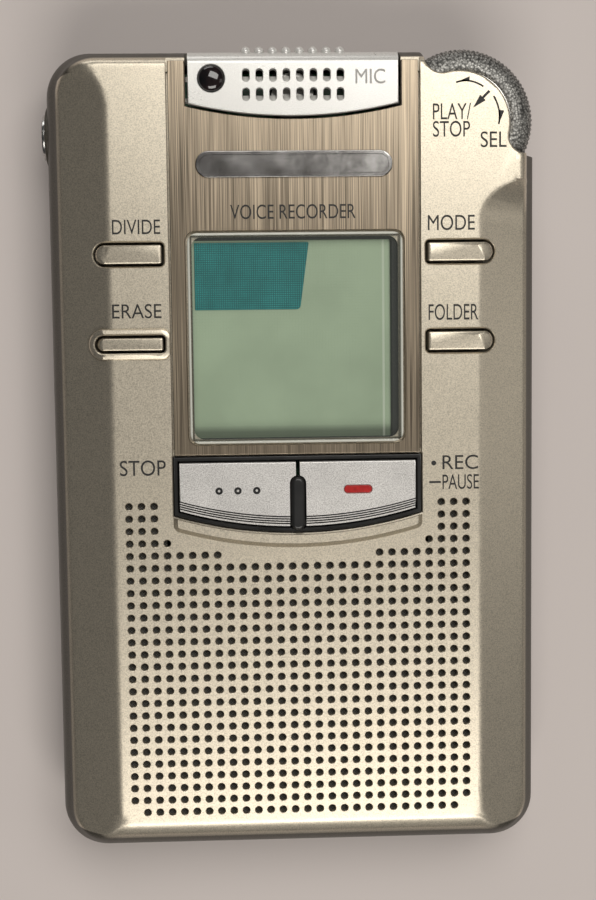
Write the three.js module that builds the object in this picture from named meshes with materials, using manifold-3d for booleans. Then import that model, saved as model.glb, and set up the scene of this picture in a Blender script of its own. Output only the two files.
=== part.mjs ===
// Pocket voice recorder with a display, a jog dial and a drilled speaker grille.
// Millimetres. +Z comes out of the front face, +Y points to the microphone end, +X to the right.
// The recorder lies on its back, and the origin is the middle of the back face.
import * as THREE from 'three';
import { mergeVertices } from 'three/addons/utils/BufferGeometryUtils.js';
import Module from 'manifold-3d';

const wasm = await Module();
wasm.setup();

// ---------------------------------------------------------------- driving dimensions

const WIDTH = 59.5;
const LENGTH = 98;
const THICKNESS = 17.4;
const SPLIT = 8.7; // height of the seam between the two shells
const SEAM = 0.12; // gap that shows as the seam
const WALL = 1.5;
const SKIN = 1.4; // thickness of the front face and of the back
const CORNER = 5.2; // corner radius of the widest outline
const EDGE = WIDTH / 2;
const END = LENGTH / 2;
const FACE = THICKNESS; // height of the front face
const CEILING = FACE - SKIN;

// Sloping shoulders on both sides of the front face.
const SHOULDER = 6; // width of the slope
const RIM_INSET = 1.75; // from the widest outline in to the slope's lower edge
const RIM_DROP = 2.6; // from the front face down to that edge
const CREASE = EDGE - RIM_INSET - SHOULDER;
const SLOPE = RIM_DROP / SHOULDER;

// General clearances.
const FIT = 0.2; // between a part and the opening that it sits in
const REST = 0.1; // between a part and what it rests on

// Jog dial in the upper right corner.
const DIAL_R = 8.3;
const DIAL_X = EDGE - 9.55;
const DIAL_Y = END - 8.9;
const DIAL_TOP = CEILING - 0.4;
const DIAL_DEPTH = 5.7;
const DIAL_GAP = 0.5; // all round the rim
const DIAL_BORE = 1.35;
const AXLE_R = 1.2;
const EAR_R = 6.05; // edge of the shell above and below the dial
const EAR_X = DIAL_X - 0.6;
const EAR_Y = DIAL_Y - 0.4;
const EAR_FILLET_TOP = 2.2;
const EAR_FILLET_SIDE = 2.0;
const EAR_TOP_ANGLE = 104.2;
const EAR_SIDE_ANGLE = -11.5;
const JOG_TRAVEL = 0.8;
const ENCODER_R = 2.6;

// Brushed panel down the middle of the face.
const PANEL_HALF = 14.7;
const PANEL_LOW = 0.75;
const PANEL_THICK = 0.5;
const PANEL_SINK = 0.1; // panel surface below the front face
const PANEL_END = 2.0; // the panel stops this far short of the widest outline

// Display.
const WINDOW_HALF = 12.75;
const WINDOW_LOW = 2.1;
const WINDOW_HIGH = 27.05;
const WINDOW_R = 1.2;
const WINDOW_PROUD = 0.3;
const WINDOW_SEAT = 1.0; // from the front face down to the window's seat
const WINDOW_BEVEL = 0.35;
const WINDOW_LEDGE = 0.45;
const LCD_THICK = 1.8;
const LCD_DEPTH = 2.0; // from the front face down to the display glass
const LCD_TOP = FACE - LCD_DEPTH;
const MASK_THICK = 0.4;
const FRAME_WALL = 0.6;

// Microphone cap at the top end.
const CAP_HALF = 12.35;
const CAP_LOW = END - 8.4; // lowest point of its curved edge, on the middle line
const CAP_R = 53.7;
const CAP_GAP = 0.35;
const CAP_PROUD = 0.1;
const CAP_THICK = 0.9;
const CAP_END = 0.85; // the cap's end wall stands this far inside the widest outline
const CAP_WALL = 1.3;
const CAP_DROP = 5; // how far the end wall reaches below the front face
const SLOT_PITCH = 1.58;
const SLOT_COUNT = 8;
const SLOT_W = 0.85;
const SLOT_H = 1.5;
const SLOT_ROWS = [END - 5.95, END - 3.75];
const RIB_PROUD = 0.6;
const LAMP_X = -9.6;
const LAMP_Y = END - 4.1;
const LAMP_R = 1.5;
const LAMP_DOME = 0.55;

// Stop and record keys with the black frame around them.
const KEYS_HALF = 14.95;
const KEYS_TOP = 0.62;
const KEYS_LOW = -8.8; // lowest point of the curved edge
const KEYS_R = 51;
const BEZEL_WALL = 0.6;
const KEY_GAP = 0.2;
const KEY_PROUD = 0.3;
const KEY_TRAVEL = 0.4;
const KEY_FLOOR = 15.3; // underside of the keys
const KEY_STEPS = 4;
const KEY_STEP_RUN = 0.28;
const KEY_STEP_DROP = 0.24;
const KEY_FLAT = 5.2; // length of the keys' flat tops at the sides
const DIVIDER_HALF = 0.87;
const DIVIDER_TOP = -1.95;
const KEY_SPLIT = 0.25; // half the gap between the two keys above the divider
const LIP_WIDTH = 1.7;
const LIP_PROUD = 0.6;
const LIP_REACH = 3; // how far the lip's ends run up beside the curved edge
const MARK_X = 7.2;
const MARK_Y = -3.55;
const MARK_L = 3.4;
const MARK_H = 1.0;
const MARK_DEEP = 0.4;
const DOT_R = 0.42;
const DOT_PITCH = 2.25;
const DOT_DEEP = 0.2;

// Push switches: a low one under each key and a high one under each side button.
const SWITCH = { w: 4.2, d: 3.2, low: 0.7, high: 1.6, button: 0.2, r: 0.7 };

// Four side buttons that follow the face and the shoulder.
const BUTTON_IN = PANEL_HALF + 0.75; // inner end of the hole
const BUTTON_OUT = CREASE + 1.9; // outer, round end of the hole
const BUTTON_H = 2.85;
const BUTTON_CORNER = 0.45;
const BUTTON_GAP = 0.32;
const BUTTON_PROUD = 0.25;
const BUTTON_TRAVEL = 0.3;
const BUTTON_ROWS = { upper: 24.6, lower: 14.05 };
const BUTTON_FLANGE = 0.5;
const BUTTON_BASE = 14.0;
const GUARD_WIDTH = 0.75; // raised guard round the erase button
const GUARD_PROUD = 0.6;
const GUARD_TIGHTER = 0.35; // the guarded hole is this much lower on each side

// Speaker grille: one hole pitch both ways.
const HOLE_PITCH = 1.5;
const HOLE_R = 0.43;
const GRILLE_COLUMNS = 28;
const GRILLE_TOP = -5.3;
const GRILLE_ROWS = 26;
const SOUND_R = 9; // holes this close to the speaker's middle go right through
const SPEAKER_Y = -END + 20.45;
const SPEAKER_R = 13.5;
const SPEAKER_LOW = 13.0;
const SPEAKER_HIGH = CEILING - 0.2;
const MAGNET_R = 6;

// Batteries and their bay.
const CELL_R = 5.2;
const CELL_L = 44.5;
const NUB_R = 1.9;
const NUB_L = 0.9;
const CELL_PITCH = 11.0;
const DOOR_THICK = 1.2;
const DOOR_HALF = 12.3;
const DOOR_FLANGE = 0.9;
const DOOR_SINK = 0.1; // keeps the door clear of what the recorder lies on
const DOOR_OUTER = 0.6; // depth of the door outside its flanges
const GRIP = { count: 5, from: 12, pitch: 1.6, width: 0.7, half: 5, deep: 0.25 }; // thumb grooves
const CELL_Z = DOOR_THICK + 0.3 + CELL_R;
const BAY_HALF = CELL_PITCH / 2 + CELL_R + 0.3;
const BAY_WALL = 0.8;
const BAY_ROOF = 0.6;
const BAY_LOW = -END + 3.0;
const CONTACT = 0.4;
const CONTACT_HALF = 4.2;
const SPRING_L = 3.3;
const SPRING_GAP = 0.1;
const BAY_HIGH = BAY_LOW + 2 * CONTACT + CELL_L + SPRING_L + 5 * SPRING_GAP;
const BAY_TOP = CELL_Z + CELL_R + 0.25;

// Boards.
const BOARD_LOW = 10.6;
const BOARD_THICK = 1;
const BOARD_TOP = BOARD_LOW + BOARD_THICK;
const BOARD_HALF = CREASE + 0.6;
const RIB = { x: 16, half: 0.5, from: 4, to: 24 }; // two ribs under the board, past the bay
const KEY_BOARD_LOW = BAY_TOP + BAY_ROOF + 0.25;
const KEY_BOARD_THICK = 0.6;
const KEY_BOARD_TOP = KEY_BOARD_LOW + KEY_BOARD_THICK;

// Earphone socket in the left side.
const JACK_Y = END - 9.6;
const JACK_Z = 7.6;
const JACK_BORE = 1.8;
const COLLAR_R = 2.8;
const COLLAR_PROUD = 0.65;
const PAD_WIDTH = 0.9; // round pad of the shell around the collar
const PAD_PROUD = 0.2;
const JACK_BODY = 10.4;
const JACK_HALF = 3.1;

// Case screws, driven in from the back.
const POST_X = EDGE - 4.45;
const POST_ROWS = [-END + 7, 29.5];
const POST_R = 2.2;
const SOCKET_R = 3.0;
const SCREW_R = 0.9;
const SCREW_HEAD_R = 2.0;
const SCREW_HEAD = 1.3;
const SCREW_SINK = 0.9;
const SCREW_L = 9.5;
const CROSS_HALF = 0.28; // driver recess: half the width and half the length of its arms
const CROSS_REACH = 1.3;
const CROSS_DEEP = 0.7;

// ---------------------------------------------------------------- materials

function finish(color, roughness, metalness, extra = {}) {
  return new THREE.MeshStandardMaterial({ color, roughness, metalness, ...extra });
}

const PAINT = finish(0xcfc3a8, 0.42, 0.55);
const PANEL = finish(0x9c8a6e, 0.34, 0.9);
const SILVER = finish(0xd9d4c8, 0.3, 0.6);
const CHROME = finish(0xdcdcdc, 0.12, 1);
const BLACK = finish(0x111111, 0.35, 0);
const RUBBER = finish(0x1c1c1c, 0.8, 0);
const DIAL_GREY = finish(0x55524c, 0.5, 0.4);
const RED = finish(0xa51414, 0.45, 0);
const CLEAR = finish(0xc8d2c4, 0.05, 0, { transparent: true, opacity: 0.3 });
const LCD = finish(0x92a487, 0.4, 0);
const TEAL = finish(0x237377, 0.5, 0);
const BOARD = finish(0x1f5a35, 0.6, 0);
const CHIP = finish(0x1a1a1c, 0.55, 0);
const STEEL = finish(0xb8b8b6, 0.3, 1);
const CONE = finish(0x2a2825, 0.9, 0);
const CELL = finish(0x3c4a5c, 0.35, 0.5);

// ---------------------------------------------------------------- shapes and solids

/** A solid from a closed three.js geometry. */
function solid(geometry) {
  const bare = geometry.clone();
  bare.deleteAttribute('normal');
  bare.deleteAttribute('uv');
  const merged = mergeVertices(bare, 1e-4);
  const faces = [];
  const index = merged.index.array;
  for (let i = 0; i < index.length; i += 3) {
    const [a, b, c] = [index[i], index[i + 1], index[i + 2]];
    if (a !== b && b !== c && c !== a) faces.push(a, b, c);
  }
  const vertProperties = merged.attributes.position.array;
  return new wasm.Manifold(new wasm.Mesh({ numProp: 3, vertProperties, triVerts: Uint32Array.from(faces) }));
}

/** The geometry of a finished solid. */
function geometryOf(body) {
  const mesh = body.getMesh();
  const geometry = new THREE.BufferGeometry();
  geometry.setAttribute('position', new THREE.BufferAttribute(mesh.vertProperties, 3));
  geometry.setIndex(new THREE.BufferAttribute(mesh.triVerts, 1));
  geometry.computeVertexNormals();
  return geometry;
}

const join = (first, ...rest) => rest.reduce((sum, body) => sum.add(body), first);
const cut = (first, ...rest) => rest.reduce((left, body) => left.subtract(body), first);

/** A box from its lowest to its highest corner. */
function box(x0, x1, y0, y1, z0, z1) {
  const geometry = new THREE.BoxGeometry(x1 - x0, y1 - y0, z1 - z0);
  return solid(geometry.translate((x0 + x1) / 2, (y0 + y1) / 2, (z0 + z1) / 2));
}

/** An upright round bar. */
function rod(x, y, z0, z1, r, sides = 16) {
  const geometry = new THREE.CylinderGeometry(r, r, z1 - z0, sides);
  return solid(geometry.rotateX(Math.PI / 2).translate(x, y, (z0 + z1) / 2));
}

/** A round bar along X. */
function barX(x0, x1, y, z, r, sides = 20) {
  const geometry = new THREE.CylinderGeometry(r, r, x1 - x0, sides);
  return solid(geometry.rotateZ(Math.PI / 2).translate((x0 + x1) / 2, y, z));
}

/** A plan outline raised between two heights. */
function slab(points, z0, z1) {
  const shape = new THREE.Shape(points);
  const geometry = new THREE.ExtrudeGeometry(shape, { depth: z1 - z0, bevelEnabled: false });
  return solid(geometry.translate(0, 0, z0));
}

/** A body turned about an upright axis from its [radius, height] profile. */
function turned(x, y, profile, sides = 24) {
  const points = profile.map(([r, z]) => new THREE.Vector2(r, z));
  const geometry = new THREE.LatheGeometry(points, sides);
  return solid(geometry.rotateX(Math.PI / 2).translate(x, y, 0));
}

/** Points along an arc, angles in degrees, both ends included. */
function arc(cx, cy, r, from, to, steps) {
  const points = [];
  for (let i = 0; i <= steps; i += 1) {
    const a = THREE.MathUtils.degToRad(from + ((to - from) * i) / steps);
    points.push(new THREE.Vector2(cx + r * Math.cos(a), cy + r * Math.sin(a)));
  }
  return points;
}

/** Outline of a rectangle with round corners, anticlockwise. */
function roundRect(x0, x1, y0, y1, r, steps = 4) {
  return [
    ...arc(x1 - r, y0 + r, r, -90, 0, steps),
    ...arc(x1 - r, y1 - r, r, 0, 90, steps),
    ...arc(x0 + r, y1 - r, r, 90, 180, steps),
    ...arc(x0 + r, y0 + r, r, 180, 270, steps),
  ];
}

/** Outline with a straight top, straight sides and a bowed lower edge. */
function bowed(x0, x1, top, low, r, steps = 12) {
  const points = [new THREE.Vector2(x1, top), new THREE.Vector2(x0, top)];
  for (let i = 0; i <= steps; i += 1) {
    const x = x0 + ((x1 - x0) * i) / steps;
    points.push(new THREE.Vector2(x, low + r - Math.sqrt(r * r - x * x)));
  }
  return points;
}

/** Skin joining level outlines that all have the same number of points. */
function loft(levels) {
  const count = levels[0].points.length;
  const positions = levels.flatMap(({ z, points }) => points.flatMap((p) => [p.x, p.y, z]));
  const faces = [];
  for (let k = 0; k + 1 < levels.length; k += 1) {
    for (let i = 0; i < count; i += 1) {
      const a = k * count + i;
      const b = k * count + ((i + 1) % count);
      faces.push(a, b, b + count, a, b + count, a + count);
    }
  }
  const last = (levels.length - 1) * count;
  for (let i = 1; i + 1 < count; i += 1) {
    faces.push(0, i + 1, i, last, last + i, last + i + 1);
  }
  const geometry = new THREE.BufferGeometry();
  geometry.setAttribute('position', new THREE.Float32BufferAttribute(positions, 3));
  geometry.setIndex(faces);
  return solid(geometry);
}

// ---------------------------------------------------------------- the casing's outer form

// How far the casing draws in from its widest outline, by height: at the sides, at the top end
// and at the bottom end. The bottom end rolls over more softly than the top end.
const DRAW_IN = [
  { z: 0, side: 3.4, top: 3.4, bottom: 3.4 },
  { z: 0.6, side: 2.5, top: 2.5, bottom: 2.5 },
  { z: 1.8, side: 1.4, top: 1.4, bottom: 1.4 },
  { z: 4.6, side: 0.4, top: 0.4, bottom: 0.4 },
  { z: SPLIT, side: 0, top: 0, bottom: 0 },
  { z: FACE - 5.4, side: 0.45, top: 0.25, bottom: 0.6 },
  { z: FACE - RIM_DROP, side: RIM_INSET, top: 0.9, bottom: 1.6 },
  { z: FACE - 1.2, side: 2.0, top: 1.4, bottom: 2.6 },
  { z: FACE - 0.4, side: 2.25, top: 1.75, bottom: 3.5 },
  { z: FACE, side: 2.55, top: PANEL_END, bottom: 4.3 },
];

/** How far the casing draws in at any height. */
function drawInAt(z) {
  const above = DRAW_IN.findIndex((level) => level.z >= z - 1e-9);
  const high = DRAW_IN[above];
  const low = DRAW_IN[Math.max(above - 1, 0)];
  const t = high.z > low.z ? (z - low.z) / (high.z - low.z) : 0;
  const mix = (key) => THREE.MathUtils.lerp(low[key], high[key], t);
  return { side: mix('side'), top: mix('top'), bottom: mix('bottom') };
}

/** The casing's outline at a height, moved inwards by a wall. */
function outlineAt(z, wall = 0) {
  const { side, top, bottom } = drawInAt(z);
  const x = EDGE - side - wall;
  const r = Math.max(CORNER - wall - 0.35 * side, 1);
  return { z, points: roundRect(-x, x, -END + bottom + wall, END - top - wall, r) };
}

/** The casing's form between two heights, moved inwards by a wall. */
function form(z0, z1, wall = 0) {
  const heights = [z0, ...DRAW_IN.map((level) => level.z).filter((z) => z > z0 && z < z1), z1];
  return loft(heights.map((z) => outlineAt(z, wall)));
}

// The upper end of each shoulder sweeps outwards in a quarter ellipse.
const SHOULDER_ENDS = {
  left: { side: -1, start: END - 8, rise: 6.8 },
  right: { side: 1, start: DIAL_Y - 12.1, rise: 5 },
};
const FAR = 2 * EDGE;

/** Everything above one shoulder's slope, with the slope raised by lift. */
function aboveShoulder({ side, start, rise }, lift) {
  const stations = [{ y: -LENGTH, crease: CREASE }, { y: start, crease: CREASE }];
  for (const t of [0.3, 0.55, 0.75, 0.88, 0.96, 1]) {
    stations.push({ y: start + rise * t, crease: CREASE + SHOULDER * (1 - Math.sqrt(1 - t * t)) });
  }
  const out = EDGE + 2;
  const section = ({ y, crease }) => ({
    z: y,
    points: [
      new THREE.Vector2(crease, FACE + lift),
      new THREE.Vector2(out, FACE + lift - (out - crease) * SLOPE),
      new THREE.Vector2(out, FACE + lift + THICKNESS),
      new THREE.Vector2(crease, FACE + lift + THICKNESS),
    ],
  });
  // The stations stack along the loft's own axis, which is then laid along Y.
  const body = loft(stations.map(section));
  const layAlongY = [side, 0, 0, 0, 0, 0, 1, 0, 0, 1, 0, 0, 0, 0, 0, 1];
  return body.transform(layAlongY);
}

/** Everything above the front of the casing, with that surface raised by lift. */
function aboveFace(lift) {
  const sky = box(-FAR, FAR, -LENGTH, LENGTH, FACE + lift, FACE + lift + THICKNESS);
  return join(sky, aboveShoulder(SHOULDER_ENDS.left, lift), aboveShoulder(SHOULDER_ENDS.right, lift));
}

/** The corner outside the dial's ear, grown into the casing by a wall. */
function dialCorner(z0, z1, wall = 0) {
  const r = EAR_R - wall;
  const top = EAR_FILLET_TOP + wall;
  const side = EAR_FILLET_SIDE + wall;
  const centre = (angle, fillet) => arc(EAR_X, EAR_Y, EAR_R + fillet, angle, angle, 1)[0];
  const upper = centre(EAR_TOP_ANGLE, EAR_FILLET_TOP);
  const lower = centre(EAR_SIDE_ANGLE, EAR_FILLET_SIDE);
  const points = [
    ...arc(upper.x, upper.y, top, 180, 180 + EAR_TOP_ANGLE, 6),
    ...arc(EAR_X, EAR_Y, r, EAR_TOP_ANGLE, EAR_SIDE_ANGLE, 14).slice(1),
    ...arc(lower.x, lower.y, side, 180 + EAR_SIDE_ANGLE, 270, 5).slice(1),
    new THREE.Vector2(FAR, lower.y - side),
    new THREE.Vector2(FAR, LENGTH),
    new THREE.Vector2(upper.x - top, LENGTH),
  ];
  return slab(points, z0, z1);
}

const dialPocket = () => {
  const low = DIAL_TOP - DIAL_DEPTH - 0.3;
  return rod(DIAL_X, DIAL_Y, low, DIAL_TOP + 0.3, DIAL_R + DIAL_GAP, 40);
};

const socketHole = () => barX(-FAR, -EDGE + 6, JACK_Y, JACK_Z, COLLAR_R + FIT);

// ---------------------------------------------------------------- shared outlines

/** A side button's plan outline, shrunk by a gap: square inner end, round outer end. */
function buttonOutline(side, y, shrink = 0, tighter = 0) {
  const half = BUTTON_H / 2 - shrink - tighter;
  const inner = BUTTON_IN + shrink;
  const round = BUTTON_OUT - shrink - half;
  const r = Math.max(BUTTON_CORNER - shrink * 0.5, 0.2);
  const points = [
    ...arc(inner + r, y - half + r, r, 180, 270, 2),
    ...arc(round, y, half, -90, 90, 8),
    ...arc(inner + r, y + half - r, r, 90, 180, 2),
  ];
  return side > 0 ? points : points.map((p) => new THREE.Vector2(-p.x, p.y)).reverse();
}

const SIDE_BUTTONS = [
  { name: 'divide', side: -1, y: BUTTON_ROWS.upper, tighter: 0 },
  { name: 'erase', side: -1, y: BUTTON_ROWS.lower, tighter: GUARD_TIGHTER },
  { name: 'mode', side: 1, y: BUTTON_ROWS.upper, tighter: 0 },
  { name: 'folder', side: 1, y: BUTTON_ROWS.lower, tighter: 0 },
];
const BUTTON_MID = (BUTTON_IN + BUTTON_OUT) / 2;

/** The bowed opening for the two keys, shrunk by a gap. */
const keysOutline = (shrink) =>
  bowed(-KEYS_HALF + shrink, KEYS_HALF - shrink, KEYS_TOP - shrink, KEYS_LOW + shrink, KEYS_R - shrink);

/** The bowed outline of the microphone cap, grown by a gap, running out past the top end. */
const capOutline = (grow) =>
  bowed(-CAP_HALF - grow, CAP_HALF + grow, LENGTH, CAP_LOW - grow, CAP_R + grow);

/** The window's plan outline, grown by a gap. */
const windowOutline = (grow) =>
  roundRect(-WINDOW_HALF - grow, WINDOW_HALF + grow, WINDOW_LOW - grow, WINDOW_HIGH + grow, WINDOW_R);

// ---------------------------------------------------------------- building and placing

const recorder = new THREE.Group();
recorder.name = 'voice_recorder';

function place(name, body, material, parent = recorder) {
  const mesh = new THREE.Mesh(geometryOf(body), material);
  mesh.name = name;
  parent.add(mesh);
}

// ---------------------------------------------------------------- front shell

/** Square-cut stand-ins for the drilled holes in front of the speaker. */
function soundHoles() {
  const holes = [];
  const half = HOLE_R * Math.sqrt(Math.PI) / 2;
  for (let row = 0; row < GRILLE_ROWS; row += 1) {
    for (let column = 0; column < GRILLE_COLUMNS; column += 1) {
      const x = (column - (GRILLE_COLUMNS - 1) / 2) * HOLE_PITCH;
      const y = GRILLE_TOP - row * HOLE_PITCH;
      if (Math.hypot(x, y - SPEAKER_Y) < SOUND_R) {
        holes.push(box(x - half, x + half, y - half, y + half, CEILING - 1, FACE + 1));
      }
    }
  }
  return holes;
}

function frontShell() {
  const seam = SPLIT + SEAM / 2;
  let shell = form(seam, FACE);
  // Lip that guards the lower edge of the keys, and the guard round the erase button.
  const lipOutline = bowed(-KEYS_HALF, KEYS_HALF, KEYS_LOW + LIP_REACH, KEYS_LOW - LIP_WIDTH, KEYS_R);
  const lip = slab(lipOutline, FACE - 0.5, FACE + LIP_PROUD);
  shell = cut(shell, aboveFace(0));
  const erase = SIDE_BUTTONS[1];
  const guard = slab(buttonOutline(erase.side, erase.y, -GUARD_WIDTH, GUARD_TIGHTER), CEILING - 2, FACE + 2);
  const jackPad = barX(-EDGE - PAD_PROUD, -EDGE + 2 * WALL, JACK_Y, JACK_Z, COLLAR_R + PAD_WIDTH);
  const padTop = jackPad.subtract(box(-FAR, FAR, -END, END, -1, seam));
  shell = join(shell, lip, cut(guard, aboveFace(GUARD_PROUD)), padTop);
  // The hollow inside, kept a wall away from the dial's corner.
  const hollow = cut(form(seam - 0.5, CEILING, WALL), aboveFace(-SKIN), dialCorner(0, FAR, WALL));
  shell = cut(shell, hollow, dialCorner(0, FAR), dialPocket(), socketHole());
  // Posts that take the case screws.
  for (const y of POST_ROWS) {
    for (const x of [-POST_X, POST_X]) {
      const post = rod(x, y, seam, CEILING, POST_R).subtract(aboveFace(-0.5));
      const pilot = rod(x, y, 0, SCREW_SINK + SCREW_HEAD + SCREW_L + 0.5, SCREW_R + REST, 10);
      shell = cut(join(shell, post), pilot);
    }
  }
  // Recess for the panel, seat and opening for the window, room for the cap and the keys.
  const recessFloor = FACE - PANEL_SINK - PANEL_THICK - REST;
  const recess = box(-PANEL_HALF - FIT, PANEL_HALF + FIT, KEYS_TOP - 0.5, LENGTH, recessFloor, FAR);
  const seat = slab(windowOutline(FIT), FACE - WINDOW_SEAT - REST, FAR);
  const view = slab(windowOutline(-WINDOW_LEDGE), CEILING - 1, FAR);
  const capRoom = slab(capOutline(CAP_GAP), FACE - CAP_DROP - FIT, FAR);
  const keyRoom = slab(keysOutline(0), CEILING - 1, FAR);
  shell = cut(shell, recess, seat, view, capRoom, keyRoom);
  for (const { side, y, tighter } of SIDE_BUTTONS) {
    shell = shell.subtract(slab(buttonOutline(side, y, 0, tighter), BUTTON_BASE, FAR));
  }
  return cut(shell, ...soundHoles());
}

// ---------------------------------------------------------------- back shell and battery door

/** The door's section: an outer plate with two flanges that run in the shell's grooves. */
function doorSection(grow, low) {
  const outer = DOOR_HALF + grow;
  const flange = DOOR_HALF + DOOR_FLANGE + grow;
  const [end, top] = [BAY_HIGH + grow, DOOR_THICK + grow];
  const plate = box(-outer, outer, -LENGTH, end, low, top);
  const flanges = box(-flange, flange, -LENGTH, end, DOOR_SINK + DOOR_OUTER - grow, top);
  return join(plate, flanges);
}

function backShell() {
  const seam = SPLIT - SEAM / 2;
  let shell = cut(form(0, seam), dialCorner(-1, FAR));
  const hollow = cut(form(SKIN, seam, WALL), dialCorner(0, FAR, WALL));
  const aboveSeam = form(seam - 0.01, BAY_TOP + BAY_ROOF, WALL + FIT);
  shell = cut(shell, hollow);
  // Battery bay: two side walls, two end walls and a roof.
  const [x, y0, y1] = [BAY_HALF + BAY_WALL, BAY_LOW - BAY_WALL, BAY_HIGH + BAY_WALL];
  const bayOutside = box(-x, x, y0, y1, SKIN - 0.1, BAY_TOP + BAY_ROOF);
  const bayInside = box(-BAY_HALF, BAY_HALF, BAY_LOW, BAY_HIGH, -1, BAY_TOP);
  const trimmed = bayOutside.intersect(join(form(0.2, seam), aboveSeam));
  shell = join(shell, trimmed);
  // Screw sockets and ribs that carry the board.
  for (const y of POST_ROWS) {
    for (const px of [-POST_X, POST_X]) {
      const socket = rod(px, y, SKIN - 0.2, seam, SOCKET_R).intersect(form(0.2, seam));
      shell = join(shell, socket);
    }
  }
  for (const rx of [-RIB.x, RIB.x]) {
    const [x0, x1, from, to] = [rx - RIB.half, rx + RIB.half, BAY_HIGH + RIB.from, BAY_HIGH + RIB.to];
    shell = join(shell, box(x0, x1, from, to, SKIN - 0.1, BOARD_LOW - REST));
  }
  shell = cut(shell, bayInside, socketHole());
  shell = cut(shell, doorSection(FIT, -1));
  for (const y of POST_ROWS) {
    for (const px of [-POST_X, POST_X]) {
      shell = cut(
        shell,
        rod(px, y, -1, SCREW_SINK + SCREW_HEAD + REST, SCREW_HEAD_R + FIT),
        rod(px, y, -1, FAR, SCREW_R + FIT, 10),
      );
    }
  }
  return shell;
}

function batteryDoor() {
  let door = doorSection(0, DOOR_SINK).intersect(form(DOOR_SINK, DOOR_THICK + 1));
  // Thumb grip: shallow grooves across the outer face.
  for (let i = 0; i < GRIP.count; i += 1) {
    const y = -END + GRIP.from + i * GRIP.pitch;
    door = door.subtract(box(-GRIP.half, GRIP.half, y, y + GRIP.width, -1, DOOR_SINK + GRIP.deep));
  }
  return door;
}

place('front_case', frontShell(), PAINT);
place('rear_case', backShell(), PAINT);
place('battery_door', batteryDoor(), PAINT);

// ---------------------------------------------------------------- panel, window and display

function panel() {
  const top = FACE - PANEL_SINK;
  const plate = box(-PANEL_HALF, PANEL_HALF, PANEL_LOW, END - PANEL_END, top - PANEL_THICK, top);
  const windowRoom = slab(windowOutline(FIT), 0, FAR);
  const capRoom = slab(capOutline(CAP_GAP), 0, FAR);
  return cut(plate, windowRoom, capRoom);
}

function windowLens() {
  return loft([
    { z: FACE - WINDOW_SEAT, points: windowOutline(0) },
    { z: FACE + WINDOW_PROUD - WINDOW_BEVEL, points: windowOutline(0) },
    { z: FACE + WINDOW_PROUD, points: windowOutline(-WINDOW_BEVEL) },
  ]);
}

const MASK_MOUTH = { left: 0.45, right: 1.35, low: 0.55, high: 0.85 }; // seen edge, inside the window
const LCD_HALF = WINDOW_HALF - 0.25;
const LCD_LOW = WINDOW_LOW + 0.3;
const LCD_HIGH = WINDOW_HIGH - 0.25;

function displayFrame() {
  const outer = (grow, z0, z1) =>
    box(-LCD_HALF - grow, LCD_HALF + grow, LCD_LOW - grow, LCD_HIGH + grow, z0, z1);
  const bottom = LCD_TOP - LCD_THICK - 0.5;
  const { left, right, low, high } = MASK_MOUTH;
  const mouth = box(-WINDOW_HALF + left, WINDOW_HALF - right, WINDOW_LOW + low, WINDOW_HIGH - high, 0, FAR);
  const top = CEILING - 0.05;
  return cut(outer(FIT + FRAME_WALL, bottom, top), outer(FIT, bottom - 1, top - MASK_THICK), mouth);
}

function tintFilm() {
  const low = LCD_TOP + 0.03;
  const [left, right, slant] = [-WINDOW_HALF + 0.75, 1.7, 1.1];
  const [bottom, top] = [WINDOW_HIGH - 9.05, WINDOW_HIGH - 1.1];
  const points = [
    new THREE.Vector2(left, bottom),
    new THREE.Vector2(right - slant, bottom),
    new THREE.Vector2(right, top),
    new THREE.Vector2(left, top),
  ];
  return slab(points, low, low + 0.1);
}

place('display_panel', panel(), PANEL);
place('display_window', windowLens(), CLEAR);
place('lcd_module', box(-LCD_HALF, LCD_HALF, LCD_LOW, LCD_HIGH, LCD_TOP - LCD_THICK, LCD_TOP), LCD);
place('lcd_frame', displayFrame(), BLACK);
place('lcd_tint_film', tintFilm(), TEAL);
const STRIP = { half: LCD_HALF - 1.5, y: LCD_HIGH - 1.6, thick: 1.2 };
place(
  'lcd_connector',
  box(-STRIP.half, STRIP.half, STRIP.y - STRIP.thick / 2, STRIP.y + STRIP.thick / 2,
    BOARD_TOP + REST, LCD_TOP - LCD_THICK - REST),
  RUBBER,
);

const BADGE = { half: 11.6, y: END - 14, h: 3.1, r: 1.5, thick: 0.25, lift: 0.03 };
function badge() {
  const { half, y, h, r, thick } = BADGE;
  const low = FACE - PANEL_SINK + BADGE.lift;
  return slab(roundRect(-half, half, y - h / 2, y + h / 2, r), low, low + thick);
}

place('name_badge', badge(), CHROME);

// ---------------------------------------------------------------- microphone end

function microphoneCap() {
  const top = FACE + CAP_PROUD;
  const end = END - CAP_END;
  const roof = slab(capOutline(0), top - CAP_THICK, top);
  const beyond = box(-FAR, FAR, end, LENGTH, 0, FAR);
  const endWall = box(-CAP_HALF, CAP_HALF, end - CAP_WALL, end, FACE - CAP_DROP, top - CAP_THICK / 2);
  let cap = join(cut(roof, beyond), endWall);
  for (let i = 0; i < SLOT_COUNT; i += 1) {
    const x = (i - (SLOT_COUNT - 1) / 2) * SLOT_PITCH;
    for (const y of SLOT_ROWS) {
      const [w, h] = [SLOT_W / 2, SLOT_H / 2];
      cap = cap.subtract(slab(roundRect(x - w, x + w, y - h, y + h, w - 0.02, 2), 0, FAR));
    }
    // Round rib down the end wall in line with the slots.
    const rib = rod(x, end, FACE - CAP_DROP + 0.6, top - 0.7, RIB_PROUD, 8);
    cap = join(cap, rib);
  }
  return cap.subtract(rod(LAMP_X, LAMP_Y, 0, FAR, LAMP_R + 0.1));
}

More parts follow.
